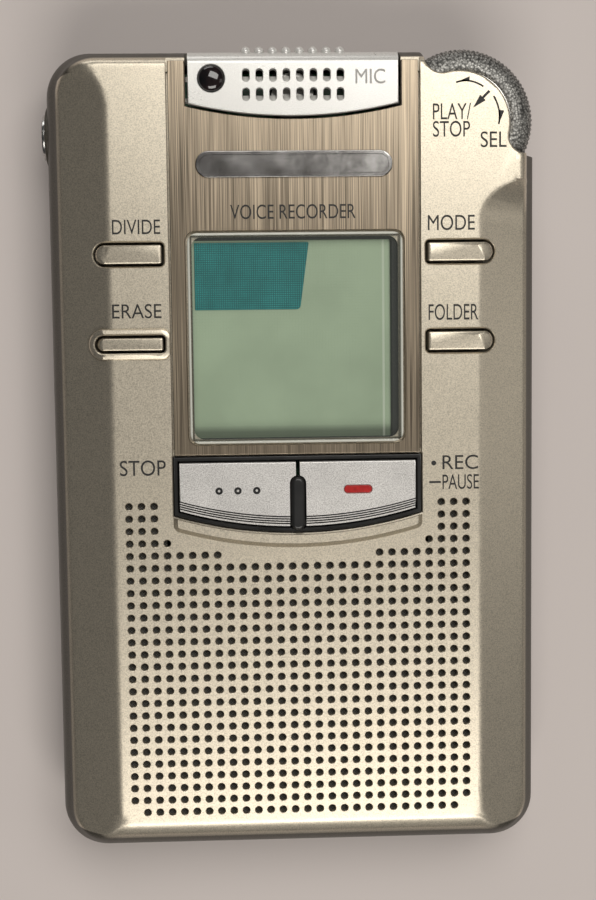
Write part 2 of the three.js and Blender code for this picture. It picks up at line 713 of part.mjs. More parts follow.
function lampLens() {
  const top = FACE + CAP_PROUD;
  const profile = [[0, BOARD_TOP + 1.0], [LAMP_R, BOARD_TOP + 1.0], [LAMP_R, top]];
  for (const a of [30, 60]) {
    const angle = THREE.MathUtils.degToRad(a);
    profile.push([LAMP_R * Math.cos(angle), top + LAMP_DOME * Math.sin(angle)]);
  }
  profile.push([0, top + LAMP_DOME]);
  return turned(LAMP_X, LAMP_Y, profile, 16);
}

const MIC = { y: SLOT_ROWS[0] + 0.35, r: 2.5, low: FACE - 4.5, high: FACE - 2 };
function micBoot() {
  const outer = rod(0, MIC.y, MIC.low - 0.6, MIC.high + 0.5, MIC.r + 0.7, 20);
  return cut(outer, rod(0, MIC.y, MIC.low - REST, FAR, MIC.r + REST, 20));
}

place('mic_cap', microphoneCap(), SILVER);
place('mic_boot', micBoot(), RUBBER);
place('mic_capsule', rod(0, MIC.y, MIC.low, MIC.high, MIC.r, 20), STEEL);
place('rec_lamp_lens', lampLens(), BLACK);

const LED = { w: 2, d: 1.2, h: 0.8 };
function lampLed() {
  const [w, d, low] = [LED.w / 2, LED.d / 2, BOARD_TOP + REST];
  return box(LAMP_X - w, LAMP_X + w, LAMP_Y - d, LAMP_Y + d, low, low + LED.h);
}

place('rec_lamp_led', lampLed(), CLEAR);

// ---------------------------------------------------------------- keys

const DIVIDER_GAP = 0.2;

function keyBezel() {
  const [low, high] = [KEY_FLOOR - 0.3, FACE - 0.15];
  const ring = cut(slab(keysOutline(REST), low, high), slab(keysOutline(BEZEL_WALL), 0, FAR));
  const barLow = KEYS_LOW + BEZEL_WALL / 2;
  const outline = roundRect(-DIVIDER_HALF, DIVIDER_HALF, barLow, DIVIDER_TOP, DIVIDER_HALF - 0.2, 3);
  const bar = slab(outline, low, FACE + KEY_PROUD - 0.05);
  return join(ring, bar.intersect(slab(keysOutline(REST), 0, FAR)));
}

/** One key: side is -1 for stop and 1 for record. */
function key(side) {
  const top = FACE + KEY_PROUD;
  const gap = BEZEL_WALL + KEY_GAP;
  let body = slab(keysOutline(gap), KEY_FLOOR, top);
  // Stepped front edge: each step follows the bow a little lower than the last.
  const stepOutline = (bow) => bowed(-KEYS_HALF, KEYS_HALF, KEYS_TOP, KEYS_LOW + bow, KEYS_R - bow);
  for (let i = 0; i < KEY_STEPS; i += 1) {
    const bow = gap + KEY_STEP_RUN * (KEY_STEPS - i);
    const tread = top - KEY_STEP_DROP * (i + 1);
    const front = box(-KEYS_HALF, KEYS_HALF, KEYS_LOW - 2, KEYS_TOP - KEY_FLAT, tread, FAR);
    body = cut(body, front.subtract(slab(stepOutline(bow), 0, FAR)));
  }
  const other = side < 0 ? box(-KEY_SPLIT, FAR, -FAR, FAR, 0, FAR) : box(-FAR, KEY_SPLIT, -FAR, FAR, 0, FAR);
  const clear = DIVIDER_HALF + DIVIDER_GAP;
  const notch = box(-clear, clear, -FAR, DIVIDER_TOP + DIVIDER_GAP, 0, FAR);
  const stemLow = KEY_BOARD_TOP + REST + SWITCH.low + SWITCH.button + KEY_TRAVEL + 0.05;
  const stem = rod(side * MARK_X, MARK_Y, stemLow, KEY_FLOOR + 0.1, 1.0, 12);
  return join(cut(body, other, notch), stem);
}

function tactSwitch(x, y, base, height) {
  const [w, d] = [SWITCH.w / 2, SWITCH.d / 2];
  const body = box(x - w, x + w, y - d, y + d, base + REST, base + REST + height);
  return join(body, rod(x, y, base + REST + height / 2, base + REST + height + SWITCH.button, SWITCH.r, 10));
}

const markOutline = (shrink) => {
  const [l, h] = [MARK_L / 2 - shrink, MARK_H / 2 - shrink];
  return roundRect(MARK_X - l, MARK_X + l, MARK_Y - h, MARK_Y + h, h - 0.02, 3);
};

function stopKey() {
  const dots = [-1, 0, 1].map((i) => {
    const top = FACE + KEY_PROUD;
    return rod(-MARK_X + i * DOT_PITCH, MARK_Y, top - DOT_DEEP, FAR, DOT_R, 8);
  });
  return cut(key(-1), ...dots);
}

place('transport_bezel', keyBezel(), BLACK);
place('stop_button', stopKey(), SILVER);
place('rec_button', cut(key(1), slab(markOutline(0), FACE + KEY_PROUD - MARK_DEEP, FAR)), SILVER);
const markLow = FACE + KEY_PROUD - MARK_DEEP + 0.05;
place('rec_mark', slab(markOutline(0.05), markLow, FACE + KEY_PROUD + 0.02), RED);
place('stop_switch', tactSwitch(-MARK_X, MARK_Y, KEY_BOARD_TOP, SWITCH.low), STEEL);
place('rec_switch', tactSwitch(MARK_X, MARK_Y, KEY_BOARD_TOP, SWITCH.low), STEEL);

// ---------------------------------------------------------------- side buttons

function sideButton({ side, y, tighter }) {
  const outline = (shrink) => buttonOutline(side, y, shrink, tighter);
  const cap = cut(slab(outline(BUTTON_GAP), BUTTON_BASE, FACE + 2), aboveFace(BUTTON_PROUD));
  const flange = slab(outline(BUTTON_GAP - BUTTON_FLANGE), BUTTON_BASE, BUTTON_BASE + 0.4);
  const stemLow = BOARD_TOP + REST + SWITCH.high + SWITCH.button + BUTTON_TRAVEL + 0.05;
  const stem = rod(side * BUTTON_MID, y, stemLow, BUTTON_BASE + 0.1, 0.9, 12);
  return join(cap, flange, stem);
}

for (const button of SIDE_BUTTONS) {
  place(`${button.name}_button`, sideButton(button), PAINT);
  const below = tactSwitch(button.side * BUTTON_MID, button.y, BOARD_TOP, SWITCH.high);
  place(`${button.name}_switch`, below, STEEL);
}

// ---------------------------------------------------------------- jog dial

// The dial's mechanism slides inwards along the diagonal: its own +X points out of the corner.
const jog = new THREE.Group();
jog.position.set(DIAL_X, DIAL_Y, 0);
jog.rotation.z = Math.PI / 4;
recorder.add(jog);

const DIAL_LOW = DIAL_TOP - DIAL_DEPTH;
const CARRIAGE = { low: DIAL_LOW - 1.0, high: DIAL_LOW - 0.3, back: -7, front: 2.2, half: 3 };

function dial() {
  const profile = [
    [DIAL_BORE, DIAL_LOW],
    [DIAL_R - 0.4, DIAL_LOW],
    [DIAL_R, DIAL_LOW + 0.4],
    [DIAL_R, DIAL_TOP - 2.0],
    [DIAL_R - 0.35, DIAL_TOP - 1.3],
    [DIAL_R - 2.0, DIAL_TOP - 0.1],
    [DIAL_R - 2.3, DIAL_TOP],
    [DIAL_BORE, DIAL_TOP],
    [DIAL_BORE, DIAL_LOW],
  ];
  return turned(0, 0, profile, 40);
}

function trimRing() {
  const [low, high] = [DIAL_TOP + 0.03, DIAL_TOP + 0.2];
  return turned(0, 0, [[5.0, low], [5.8, low], [5.8, high - 0.05], [5.7, high], [5.0, high], [5.0, low]], 32);
}

function carriage() {
  const { low, high, back, front, half } = CARRIAGE;
  return join(box(back, front, -half, half, low, high), rod(0, 0, low, DIAL_TOP - 0.3, AXLE_R));
}

function jogGuide() {
  const { low, back, half } = CARRIAGE;
  const top = low - 0.25;
  const [start, end] = [back - 1.2, -0.3];
  const plate = box(start, end, -half - 1.2, half + 1.2, top - 0.9, top);
  const rails = [-1, 1].map((side) => {
    const y = side * (half + 0.75);
    return box(start, end, y - 0.45, y + 0.45, top - 0.2, top + 0.9);
  });
  const encoderRoom = box(-ENCODER_R - JOG_TRAVEL - FIT, FAR, -ENCODER_R - FIT, ENCODER_R + FIT, 0, FAR);
  return cut(join(plate, ...rails), encoderRoom);
}

// The push switch stays below the dial, which slides out over it.
const PUSH = { face: CARRIAGE.back - JOG_TRAVEL - 0.55, deep: 3, half: 2, r: 0.3, in: 0.6 };
const PUSH_Z = CARRIAGE.low + 0.25;

function pushSwitch() {
  const { face, deep, half, r } = PUSH;
  const body = box(face - deep, face, -half, half, CARRIAGE.low - 1.6, DIAL_LOW - 0.15);
  const depth = PUSH.in + JOG_TRAVEL + FIT;
  return cut(body, barX(face - depth, face + 1, 0, PUSH_Z, r + 0.15, 10));
}

const pushPin = barX(PUSH.face - PUSH.in, CARRIAGE.back - REST, 0, PUSH_Z, PUSH.r, 10);
const encoderRing = rod(0, 0, CARRIAGE.low - 2.0, CARRIAGE.low - REST, ENCODER_R, 20);
const encoder = cut(encoderRing, rod(0, 0, 0, FAR, 1.0, 10));

place('jog_dial', dial(), DIAL_GREY, jog);
place('jog_trim_ring', trimRing(), CHROME, jog);
place('jog_carriage', carriage(), BLACK, jog);
place('jog_encoder', encoder, STEEL, jog);
place('jog_guide', jogGuide(), BLACK, jog);
place('jog_switch', pushSwitch(), BLACK, jog);
place('jog_push_pin', pushPin, STEEL, jog);

// ---------------------------------------------------------------- boards and what sits on them

function mainBoard() {
  const [low, high] = [BAY_HIGH + BAY_WALL + 0.4, END - CAP_END - CAP_WALL - 0.5];
  const full = box(-BOARD_HALF, BOARD_HALF, low, high, BOARD_LOW, BOARD_TOP);
  // The corner is cut back past the dial's pocket and the push switch behind it.
  const pocket = DIAL_R + DIAL_GAP + 2 * FIT;
  const behind = (PUSH.deep - PUSH.face + PUSH.half) * Math.SQRT1_2 + FIT;
  const keepOff = Math.max(pocket, behind);
  return cut(full, box(DIAL_X - keepOff, FAR, DIAL_Y - keepOff, LENGTH, 0, FAR));
}

const chip = (x, y, w, d, h) => {
  const top = BOARD_LOW - REST;
  return box(x - w / 2, x + w / 2, y - d / 2, y + d / 2, top - h, top);
};

place('main_board', mainBoard(), BOARD);
place('key_board', box(-13.6, 13.6, KEYS_LOW + 1, KEYS_TOP - 0.8, KEY_BOARD_LOW, KEY_BOARD_TOP), BOARD);
place('processor_chip', chip(-6, 20, 10, 10, 1.4), CHIP);
place('memory_chip', chip(7.5, 20, 8, 12, 1.2), CHIP);
place('crystal', chip(-6, 30, 6.5, 2.4, 1.8), STEEL);
place('capacitor', rod(5, 33, BOARD_LOW - REST - 5.4, BOARD_LOW - REST, 2.5, 16), CELL);

// ---------------------------------------------------------------- earphone socket

function socketBody() {
  const x1 = -EDGE + WALL + 0.5;
  const body = box(x1, x1 + JACK_BODY, JACK_Y - JACK_HALF, JACK_Y + JACK_HALF, JACK_Z - 2.7, BOARD_LOW - FIT);
  return cut(body, barX(x1 - 1, x1 + JACK_BODY - 1, JACK_Y, JACK_Z, JACK_BORE, 16));
}

function socketCollar() {
  const [x0, x1] = [-EDGE - COLLAR_PROUD, -EDGE + WALL + 0.5 - REST];
  return cut(barX(x0, x1, JACK_Y, JACK_Z, COLLAR_R), barX(x0 - 1, x1 + 1, JACK_Y, JACK_Z, JACK_BORE, 16));
}

place('earphone_jack', socketBody(), BLACK);
place('jack_collar', socketCollar(), STEEL);

// ---------------------------------------------------------------- speaker

function speakerFrame() {
  const [low, high] = [SPEAKER_LOW, SPEAKER_HIGH];
  const profile = [
    [MAGNET_R + 0.3, low + 0.2],
    [SPEAKER_R - 1.5, low + 0.9],
    [SPEAKER_R - 1.2, high - 0.8],
    [SPEAKER_R, high - 0.8],
    [SPEAKER_R, high],
    [SPEAKER_R - 1.6, high],
    [SPEAKER_R - 2.1, low + 1.4],
    [MAGNET_R + 0.3, low + 0.7],
    [MAGNET_R + 0.3, low + 0.2],
  ];
  return turned(0, SPEAKER_Y, profile, 28);
}

function speakerCone() {
  const high = SPEAKER_HIGH;
  const profile = [
    [0, high - 0.9],
    [4, high - 1.1],
    [SPEAKER_R - 2.4, high - 0.45],
    [SPEAKER_R - 2.4, high - 0.2],
    [4, high - 0.8],
    [0, high - 0.6],
  ];
  return turned(0, SPEAKER_Y, profile, 24);
}

place('speaker_frame', speakerFrame(), BLACK);
place('speaker_cone', speakerCone(), CONE);
place('speaker_magnet', rod(0, SPEAKER_Y, SPEAKER_LOW, SPEAKER_HIGH - 1.4, MAGNET_R, 20), STEEL);

// ---------------------------------------------------------------- batteries and contacts

/** One cell. Its nub points to +Y for up = 1 and to -Y for up = -1. */
function cell(x, low, up) {
  const can = CELL_L - NUB_L;
  const profile = [[0, 0], [CELL_R - 0.4, 0], [CELL_R, 0.4], [CELL_R, can - 0.4], [CELL_R - 0.4, can],
    [NUB_R, can], [NUB_R, CELL_L], [0, CELL_L]];
  const points = profile.map(([r, h]) => new THREE.Vector2(r, h));
  const geometry = new THREE.LatheGeometry(points, 20);
  if (up < 0) geometry.rotateX(Math.PI).translate(0, CELL_L, 0);
  return solid(geometry.translate(x, low, CELL_Z));
}

/** A battery spring's outer form: a cone from its seat to its tip. */
function springCone(x, seat, tip) {
  const geometry = new THREE.CylinderGeometry(1.8, 3.4, Math.abs(tip - seat), 14);
  if (tip < seat) geometry.rotateX(Math.PI);
  return solid(geometry.translate(x, (seat + tip) / 2, CELL_Z));
}

const CELL_X = CELL_PITCH / 2;
const FOOT = BAY_LOW + CONTACT + SPRING_GAP; // inner face of the lower contact
const HEAD = BAY_HIGH - CONTACT - SPRING_GAP; // inner face of the upper contacts

/** A contact plate that reaches CONTACT_HALF beyond the cell middles it spans. */
function contact(x0, x1, y0) {
  const [low, high] = [CELL_Z - CONTACT_HALF, CELL_Z + CONTACT_HALF];
  return box(x0 - CONTACT_HALF, x1 + CONTACT_HALF, y0, y0 + CONTACT, low, high);
}

place('battery_cell_left', cell(-CELL_X, FOOT + SPRING_L + 2 * SPRING_GAP, 1), CELL);
place('battery_cell_right', cell(CELL_X, FOOT + SPRING_GAP, -1), CELL);
place('battery_spring_left', springCone(-CELL_X, FOOT + SPRING_GAP, FOOT + SPRING_GAP + SPRING_L), STEEL);
place('battery_spring_right', springCone(CELL_X, HEAD - SPRING_GAP, HEAD - SPRING_GAP - SPRING_L), STEEL);
place('contact_link', contact(-CELL_X, CELL_X, FOOT - CONTACT), STEEL);
place('contact_plus', contact(-CELL_X, -CELL_X, HEAD), STEEL);
place('contact_minus', contact(CELL_X, CELL_X, HEAD), STEEL);

// ---------------------------------------------------------------- case screws

function caseScrew(x, y) {
  const head = rod(x, y, SCREW_SINK, SCREW_SINK + SCREW_HEAD, SCREW_HEAD_R);
  const arm = (halfX, halfY) => box(x - halfX, x + halfX, y - halfY, y + halfY, 0, SCREW_SINK + CROSS_DEEP);
  const cross = join(arm(CROSS_REACH, CROSS_HALF), arm(CROSS_HALF, CROSS_REACH));
  const under = SCREW_SINK + SCREW_HEAD;
  return join(cut(head, cross), rod(x, y, under - 0.1, under + SCREW_L, SCREW_R, 10));
}

POST_ROWS.forEach((y, row) => {
  const height = row === 0 ? 'lower' : 'upper';
  place(`case_screw_${height}_left`, caseScrew(-POST_X, y), STEEL);
  place(`case_screw_${height}_right`, caseScrew(POST_X, y), STEEL);
});

export default recorder;
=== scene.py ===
"""Pocket voice recorder: fine surfaces, finishes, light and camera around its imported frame.

Every size in this script is in millimetres; a finished piece is scaled to metres.
"""
from math import cos, pi, radians, sin, sqrt

import bmesh
import bpy
import numpy as np
from bpy.props import FloatProperty, FloatVectorProperty, IntProperty, PointerProperty
from mathutils import Matrix, Vector
from mathutils.geometry import delaunay_2d_cdt


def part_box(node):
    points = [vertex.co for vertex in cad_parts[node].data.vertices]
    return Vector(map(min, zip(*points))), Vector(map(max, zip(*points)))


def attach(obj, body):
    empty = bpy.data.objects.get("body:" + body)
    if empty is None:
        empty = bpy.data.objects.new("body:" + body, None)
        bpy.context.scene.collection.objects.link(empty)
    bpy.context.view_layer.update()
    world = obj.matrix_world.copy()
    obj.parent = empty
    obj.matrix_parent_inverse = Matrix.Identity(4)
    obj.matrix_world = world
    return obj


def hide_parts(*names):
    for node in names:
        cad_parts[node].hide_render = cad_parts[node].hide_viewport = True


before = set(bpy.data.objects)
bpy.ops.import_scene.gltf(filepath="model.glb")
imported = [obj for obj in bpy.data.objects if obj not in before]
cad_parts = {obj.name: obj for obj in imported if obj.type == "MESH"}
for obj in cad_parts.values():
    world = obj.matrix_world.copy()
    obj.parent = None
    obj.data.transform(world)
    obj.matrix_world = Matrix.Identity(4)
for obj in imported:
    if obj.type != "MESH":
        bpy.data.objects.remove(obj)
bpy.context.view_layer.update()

bl_info = {
    "name": "Pocket voice recorder",
    "version": (1, 0, 0),
    "blender": (4, 5, 0),
    "location": "View3D > Sidebar > Recorder",
    "description": "Builds the fine surfaces of a pocket voice recorder around its frame",
    "category": "Object",
}

MM = 0.001


def span(node):
    """Lowest and highest corner of a frame node, in millimetres."""
    low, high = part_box(node)
    return np.array(low) / MM, np.array(high) / MM


def midpoint(node):
    """Middle of a frame node's box, in millimetres."""
    low, high = span(node)
    return (low + high) / 2


# --- sizes taken from the frame

FRONT_LOW, FRONT_HIGH = span("front_case")
PANEL_LOW, PANEL_HIGH = span("display_panel")
DIAL_LOW, DIAL_HIGH = span("jog_dial")
WINDOW_LOW, WINDOW_HIGH = span("display_window")
CAP_LOW, CAP_HIGH = span("mic_cap")
BEZEL_LOW, BEZEL_HIGH = span("transport_bezel")
KEY_LOW, KEY_HIGH = span("stop_button")
COLLAR_LOW, COLLAR_HIGH = span("jack_collar")
DOOR_LOW, DOOR_HIGH = span("battery_door")
LCD_LOW, LCD_HIGH = span("lcd_module")

# Levels and walls of the casing. FACE is its front, SPLIT the height where the shells meet.
PANEL_SINK = 0.1
FACE = PANEL_HIGH[2] + PANEL_SINK
EDGE = FRONT_HIGH[0]
END = FRONT_HIGH[1]
FAR = 2 * END
SEAM = 0.12
SEAM_HIGH = FRONT_LOW[2]
SEAM_LOW = SEAM_HIGH - SEAM
SPLIT = SEAM_HIGH - SEAM / 2
WALL = 1.5
SKIN = 1.4
CEILING = FACE - SKIN
CORNER = 5.2
FIT = 0.2

# Shoulders that slope down from the face to both sides.
SHOULDER = 6.0
RIM_DROP = 2.6
RIM_INSET = 1.75
CREASE = EDGE - RIM_INSET - SHOULDER
SLOPE = RIM_DROP / SHOULDER

# Jog dial and the ear of the shell that frames it.
DIAL = midpoint("jog_dial")
DIAL_R = (DIAL_HIGH[0] - DIAL_LOW[0]) / 2
DIAL_TOP = DIAL_HIGH[2]
DIAL_GAP = 0.5
DIAL_PROUD = 0.25
EAR = (DIAL[0] - 0.6, DIAL[1] - 0.4)
EAR_R = 6.05
EAR_FILLETS = ((104.2, 2.2), (-11.5, 2.0))

# The opening for the keys and the lip below it.
KEYS_HALF = BEZEL_HIGH[0] + 0.1
KEYS_TOP = BEZEL_HIGH[1] + 0.1
KEYS_LOW = BEZEL_LOW[1] - 0.1
KEYS_R = 51.0
LIP_WIDTH = 1.7
LIP_PROUD = 0.6
LIP_SLOPE = 0.55

# The microphone cap's outline and the gap round it.
CAP_HALF = CAP_HIGH[0]
CAP_BOW = CAP_LOW[1]
CAP_R = 53.7
CAP_GAP = 0.35

# The side buttons and the raised guard round the erase button.
BUTTON_IN = PANEL_HIGH[0] + 0.75
BUTTON_OUT = CREASE + 1.9
BUTTON_H = 2.85
BUTTON_GAP = 0.32
BUTTON_PROUD = 0.25
BUTTON_BASE = span("divide_button")[0][2] + 0.15
GUARD_WIDTH = 0.75
GUARD_PROUD = 0.6
GUARD_TIGHTER = 0.35

# Each side button: its node, its side, its middle along the casing and how much narrower it is.
BUTTONS = (
    ("divide_button", -1, midpoint("divide_switch")[1], 0.0),
    ("erase_button", -1, midpoint("erase_switch")[1], GUARD_TIGHTER),
    ("mode_button", 1, midpoint("mode_switch")[1], 0.0),
    ("folder_button", 1, midpoint("folder_switch")[1], 0.0),
)

# The display: the height of the painted shadow along its foot, and the painted glint near its right edge.
LCD_SHADE = 1.35
LCD_GLINT = (10.45, 10.72)

# The speaker grille and the cloth behind it.
GRILLE_TOP = -5.3
GRILLE_COLUMNS = 28
GRILLE_ROWS = 26
GRILLE_SKIN = 0.7
CLOTH_HALF = 21.2

# The earphone socket and its pad.
JACK = midpoint("jack_collar")
SOCKET_R = (COLLAR_HIGH[1] - COLLAR_LOW[1]) / 2 + FIT
PAD_R = SOCKET_R + 0.7

# The back: screws, battery bay and sliding door.
SCREWS = [midpoint(f"case_screw_{place}")[:2]
          for place in ("lower_left", "lower_right", "upper_left", "upper_right")]
BAY_HALF = 11.0
BAY_WALL = 0.8
BAY_LOW = -END + 3.0
BAY_TOP = span("rear_case")[1][2]
DOOR_FLANGE = 0.9
DOOR_HALF = DOOR_HIGH[0] - DOOR_FLANGE
GRIP_COUNT = 5
GRIP_START = -END + 12
GRIP_PITCH = 1.6
GRIP_WIDTH = 0.7
GRIP_HALF = 5

# The microphone cap: its end wall, its slots and its lamp.
CAP_END = END - 0.85
CAP_WALL = 1.3
CAP_ROOF = 0.9
SLOT_PITCH = 1.58
SLOT_X = (np.arange(8) - 3.5) * SLOT_PITCH
SLOT_Y = (END - 5.95, END - 3.75)
SLOT_W, SLOT_H = 0.85, 1.5
LAMP = midpoint("rec_lamp_lens")

# The stop and record keys, the divider between them and the marks on them.
DIVIDER_HALF = 0.87
DIVIDER_TOP = -1.95
KEY_BASE = 15.3
KEY_GAP = 0.8
KEY_SPLIT = 0.25
KEY_GROOVE = 0.18
MARK = midpoint("rec_mark")
DOT_PITCH = 2.25

# How far the casing draws in from its widest outline at the sides, the top end and the bottom
# end, by height.
DRAW_Z = np.array([0, 0.6, 1.8, 4.6, SPLIT, FACE - 5.4, FACE - RIM_DROP, FACE - 1.2, FACE - 0.4, FACE])
DRAW_SIDE = np.array([3.4, 2.5, 1.4, 0.4, 0, 0.45, RIM_INSET, 2.0, 2.25, 2.55])
DRAW_TOP = np.array([3.4, 2.5, 1.4, 0.4, 0, 0.25, 0.9, 1.4, 1.75, 2.0])
DRAW_BOTTOM = np.array([3.4, 2.5, 1.4, 0.4, 0, 0.6, 1.6, 2.6, 3.5, 4.3])


# --- curves and outlines

def monotone(x, xs, ys):
    """Cubic Hermite curve through points, without overshoot: the slope at a point is the
    harmonic mean of the slopes of its two cells, or nought where they differ in sign."""
    step = np.diff(xs)
    rise = np.diff(ys) / step
    slopes = np.zeros(len(xs))
    product = rise[:-1] * rise[1:]
    total = np.where(product > 0, rise[:-1] + rise[1:], 1.0)
    slopes[1:-1] = np.where(product > 0, 2 * product / total, 0.0)
    slopes[0], slopes[-1] = rise[0], rise[-1]
    i = np.clip(np.searchsorted(xs, x, side="right") - 1, 0, len(step) - 1)
    t = (x - xs[i]) / step[i]
    h = step[i]
    near = (1 + 2 * t) * (1 - t) ** 2 * ys[i] + t * (1 - t) ** 2 * h * slopes[i]
    return near + t * t * (3 - 2 * t) * ys[i + 1] + t * t * (t - 1) * h * slopes[i + 1]


def arc(centre, radius, start, stop, steps):
    """Points of a circular arc, angles in degrees: centre plus radius times (cos a, sin a)."""
    a = np.radians(np.linspace(start, stop, steps + 1))
    return np.column_stack((centre[0] + radius * np.cos(a), centre[1] + radius * np.sin(a)))


def rounded(corners, steps=8):
    """Closed outline through (x, y, radius) corners, anticlockwise. Each corner becomes an arc
    that touches both of its sides."""
    points = []
    count = len(corners)
    for i, (x, y, radius) in enumerate(corners):
        here = np.array((x, y))
        back = np.array(corners[i - 1][:2]) - here
        ahead = np.array(corners[(i + 1) % count][:2]) - here
        back = back / np.linalg.norm(back)
        ahead = ahead / np.linalg.norm(ahead)
        if radius <= 0:
            points.append(here[None])
            continue
        half = np.arccos(np.clip(back @ ahead, -1, 1)) / 2
        centre = here + (back + ahead) / np.linalg.norm(back + ahead) * radius / np.sin(half)
        from_ = here + back * radius / np.tan(half) - centre
        to = here + ahead * radius / np.tan(half) - centre
        a0 = np.arctan2(from_[1], from_[0])
        turn = (np.arctan2(to[1], to[0]) - a0 + pi) % (2 * pi) - pi
        a = a0 + turn * np.linspace(0, 1, steps + 1)
        points.append(centre + radius * np.column_stack((np.cos(a), np.sin(a))))
    return np.concatenate(points)


def rectangle(x0, x1, y0, y1, radius=0.0, steps=8):
    """Outline of a rectangle with round corners."""
    return rounded([(x0, y0, radius), (x1, y0, radius), (x1, y1, radius), (x0, y1, radius)], steps)


def bowed(x0, x1, top, low, radius, steps=48):
    """Outline with a straight top and sides; its lower edge is a circular arc, y = low + radius
    - sqrt(radius^2 - x^2)."""
    x = np.linspace(x0, x1, steps + 1)
    bow = np.column_stack((x, low + radius - np.sqrt(radius**2 - x * x)))
    return np.concatenate(([[x0, top]], bow, [[x1, top]]))


def circle(x, y, radius, sides=48):
    """Points of a whole circle."""
    return arc((x, y), radius, 0, 360 * (1 - 1 / sides), sides - 1)


def offset(loop, distance):
    """A closed outline with every side moved to its left by a distance: a point moves along the
    sum of its two sides' normals, divided by that sum's part along either one."""
    ahead = np.roll(loop, -1, 0) - loop
    ahead /= np.linalg.norm(ahead, axis=1)[:, None]
    back = np.roll(ahead, 1, 0)
    normals = [np.column_stack((-side[:, 1], side[:, 0])) for side in (back, ahead)]
    mitre = normals[0] + normals[1]
    mitre /= (mitre * normals[0]).sum(1)[:, None]
    return loop + distance * mitre


def lifted(loop, height):
    """An outline at a height, or at the heights of a function of (x, y)."""
    z = height(loop[:, 0], loop[:, 1]) if callable(height) else np.full(len(loop), float(height))
    return np.column_stack((loop, z))


# --- the front surface

# Where each shoulder's end starts along the casing and how long it is, by side.
SHOULDER_ENDS = {-1: (END - 8.0, 6.8), 1: (DIAL[1] - 12.1, 5.0)}
CREASE_SOFT = 0.4


def crease_at(y, side):
    """Distance from the middle line to a shoulder's upper edge. It is constant up to the start
    of the shoulder's end, and there follows a quarter ellipse out to the rim."""
    start, rise = SHOULDER_ENDS[side]
    t = np.clip((y - start) / rise, 0, 1)
    return CREASE + SHOULDER * (1 - np.sqrt(1 - t * t)) + np.where(y > start + rise, FAR, 0)


def face_height(x, y):
    """Height of the front surface: flat up to the crease, then falling with the shoulder. Near
    the crease a parabola joins the two, (u + w)^2 / 4w for a distance u within w of it."""
    edge = np.where(x < 0, crease_at(y, -1), crease_at(y, 1))
    u = np.abs(x) - edge
    w = CREASE_SOFT
    fall = np.where(u > w, u, np.where(u < -w, 0, (np.clip(u, -w, w) + w) ** 2 / (4 * w)))
    return FACE - SLOPE * fall


def above(lift):
    """The front surface raised by a lift, as a function of (x, y)."""
    return lambda x, y: face_height(x, y) + lift


def crease_lines():
    """Lines along both creases: their middle, quarters and edges, and one beyond each edge."""
    lines = []
    for side in (-1, 1):
        start, rise = SHOULDER_ENDS[side]
        bend = start + rise * np.sin(np.linspace(0, pi / 2, 24))
        y = np.concatenate((np.linspace(-END, start, 30)[:-1], bend))
        for u in np.array((-2, -1, -0.5, 0, 0.5, 1, 2)) * CREASE_SOFT:
            lines.append(np.column_stack((side * (crease_at(y, side) + u), y))[:-1])
    return lines


def inside(points, loop):
    """True for the points within a closed outline: a ray to the right crosses it an odd number
    of times."""
    x, y = points[:, 0][:, None], points[:, 1][:, None]
    a, b = loop, np.roll(loop, -1, 0)
    straddles = (a[:, 1] > y) != (b[:, 1] > y)
    rise = np.where(b[:, 1] == a[:, 1], 1, b[:, 1] - a[:, 1])
    crosses = x < a[:, 0] + (y - a[:, 1]) / rise * (b[:, 0] - a[:, 0])
    return (straddles & crosses).sum(1) % 2 == 1


def skin(loop, lines, margin):
    """Triangles that fill an outline and follow the given lines. Returns the extra points and
    the triangles, whose first indices are the outline's own points."""
    points = [loop]
    edges = [(i, (i + 1) % len(loop)) for i in range(len(loop))]
    count = len(loop)
    for line in lines:
        gap = np.linalg.norm(line[:, None] - loop[None], axis=2).min(1)
        keep = inside(line, loop) & (gap > margin)
        where = np.flatnonzero(keep)
        points.append(line[where])
        edges += [(count + k, count + k + 1) for k in np.flatnonzero(np.diff(where) == 1)]
        count += len(where)
    points = np.concatenate(points)
    out, _, faces, sources, _, _ = delaunay_2d_cdt([Vector(p) for p in points], edges, [], 1, 1e-5, True)
    if not all(sources):
        raise ValueError("the lines cross the outline")
    own = np.array([min(ids) for ids in sources])
    faces = own[np.array(faces)]
    return points[len(loop):], faces[inside(points[faces].mean(1), loop)].tolist()


# --- bodies

def body(vertices, faces):
    """A scratch object from vertices and faces."""
    mesh = bpy.data.meshes.new("scratch")
    mesh.from_pydata(np.asarray(vertices, float).tolist(), [], [list(map(int, f)) for f in faces])
    obj = bpy.data.objects.new("scratch", mesh)
    bpy.context.scene.collection.objects.link(obj)
    return obj


def quads(count, rows, closed=False):
    """Quads between rows of points, where each row is a ring of count points. closed joins the
    last row to the first."""
    i = np.arange(count)
    j = (i + 1) % count
    here = np.arange(rows if closed else rows - 1)[:, None] * count
    there = (here + count) % (rows * count)
    return np.stack((i + here, j + here, j + there, i + there), axis=2).reshape(-1, 4)


def stack(rings, top=None):
    """A closed body from rings with equal counts, anticlockwise and stacked upwards: quads join
    each ring to the next. top replaces the flat lid by (extra points, triangles)."""
    count = len(rings[0])
    i = np.arange(count)
    faces = quads(count, len(rings)).tolist() + [i[::-1].tolist()]
    last = count * (len(rings) - 1)
    vertices = np.concatenate(rings)
    if top is None:
        faces.append((i + last).tolist())
        return body(vertices, faces)
    extra, lid = top
    faces += [[v + last for v in face] for face in lid]
    return body(np.concatenate((vertices, extra)), faces)


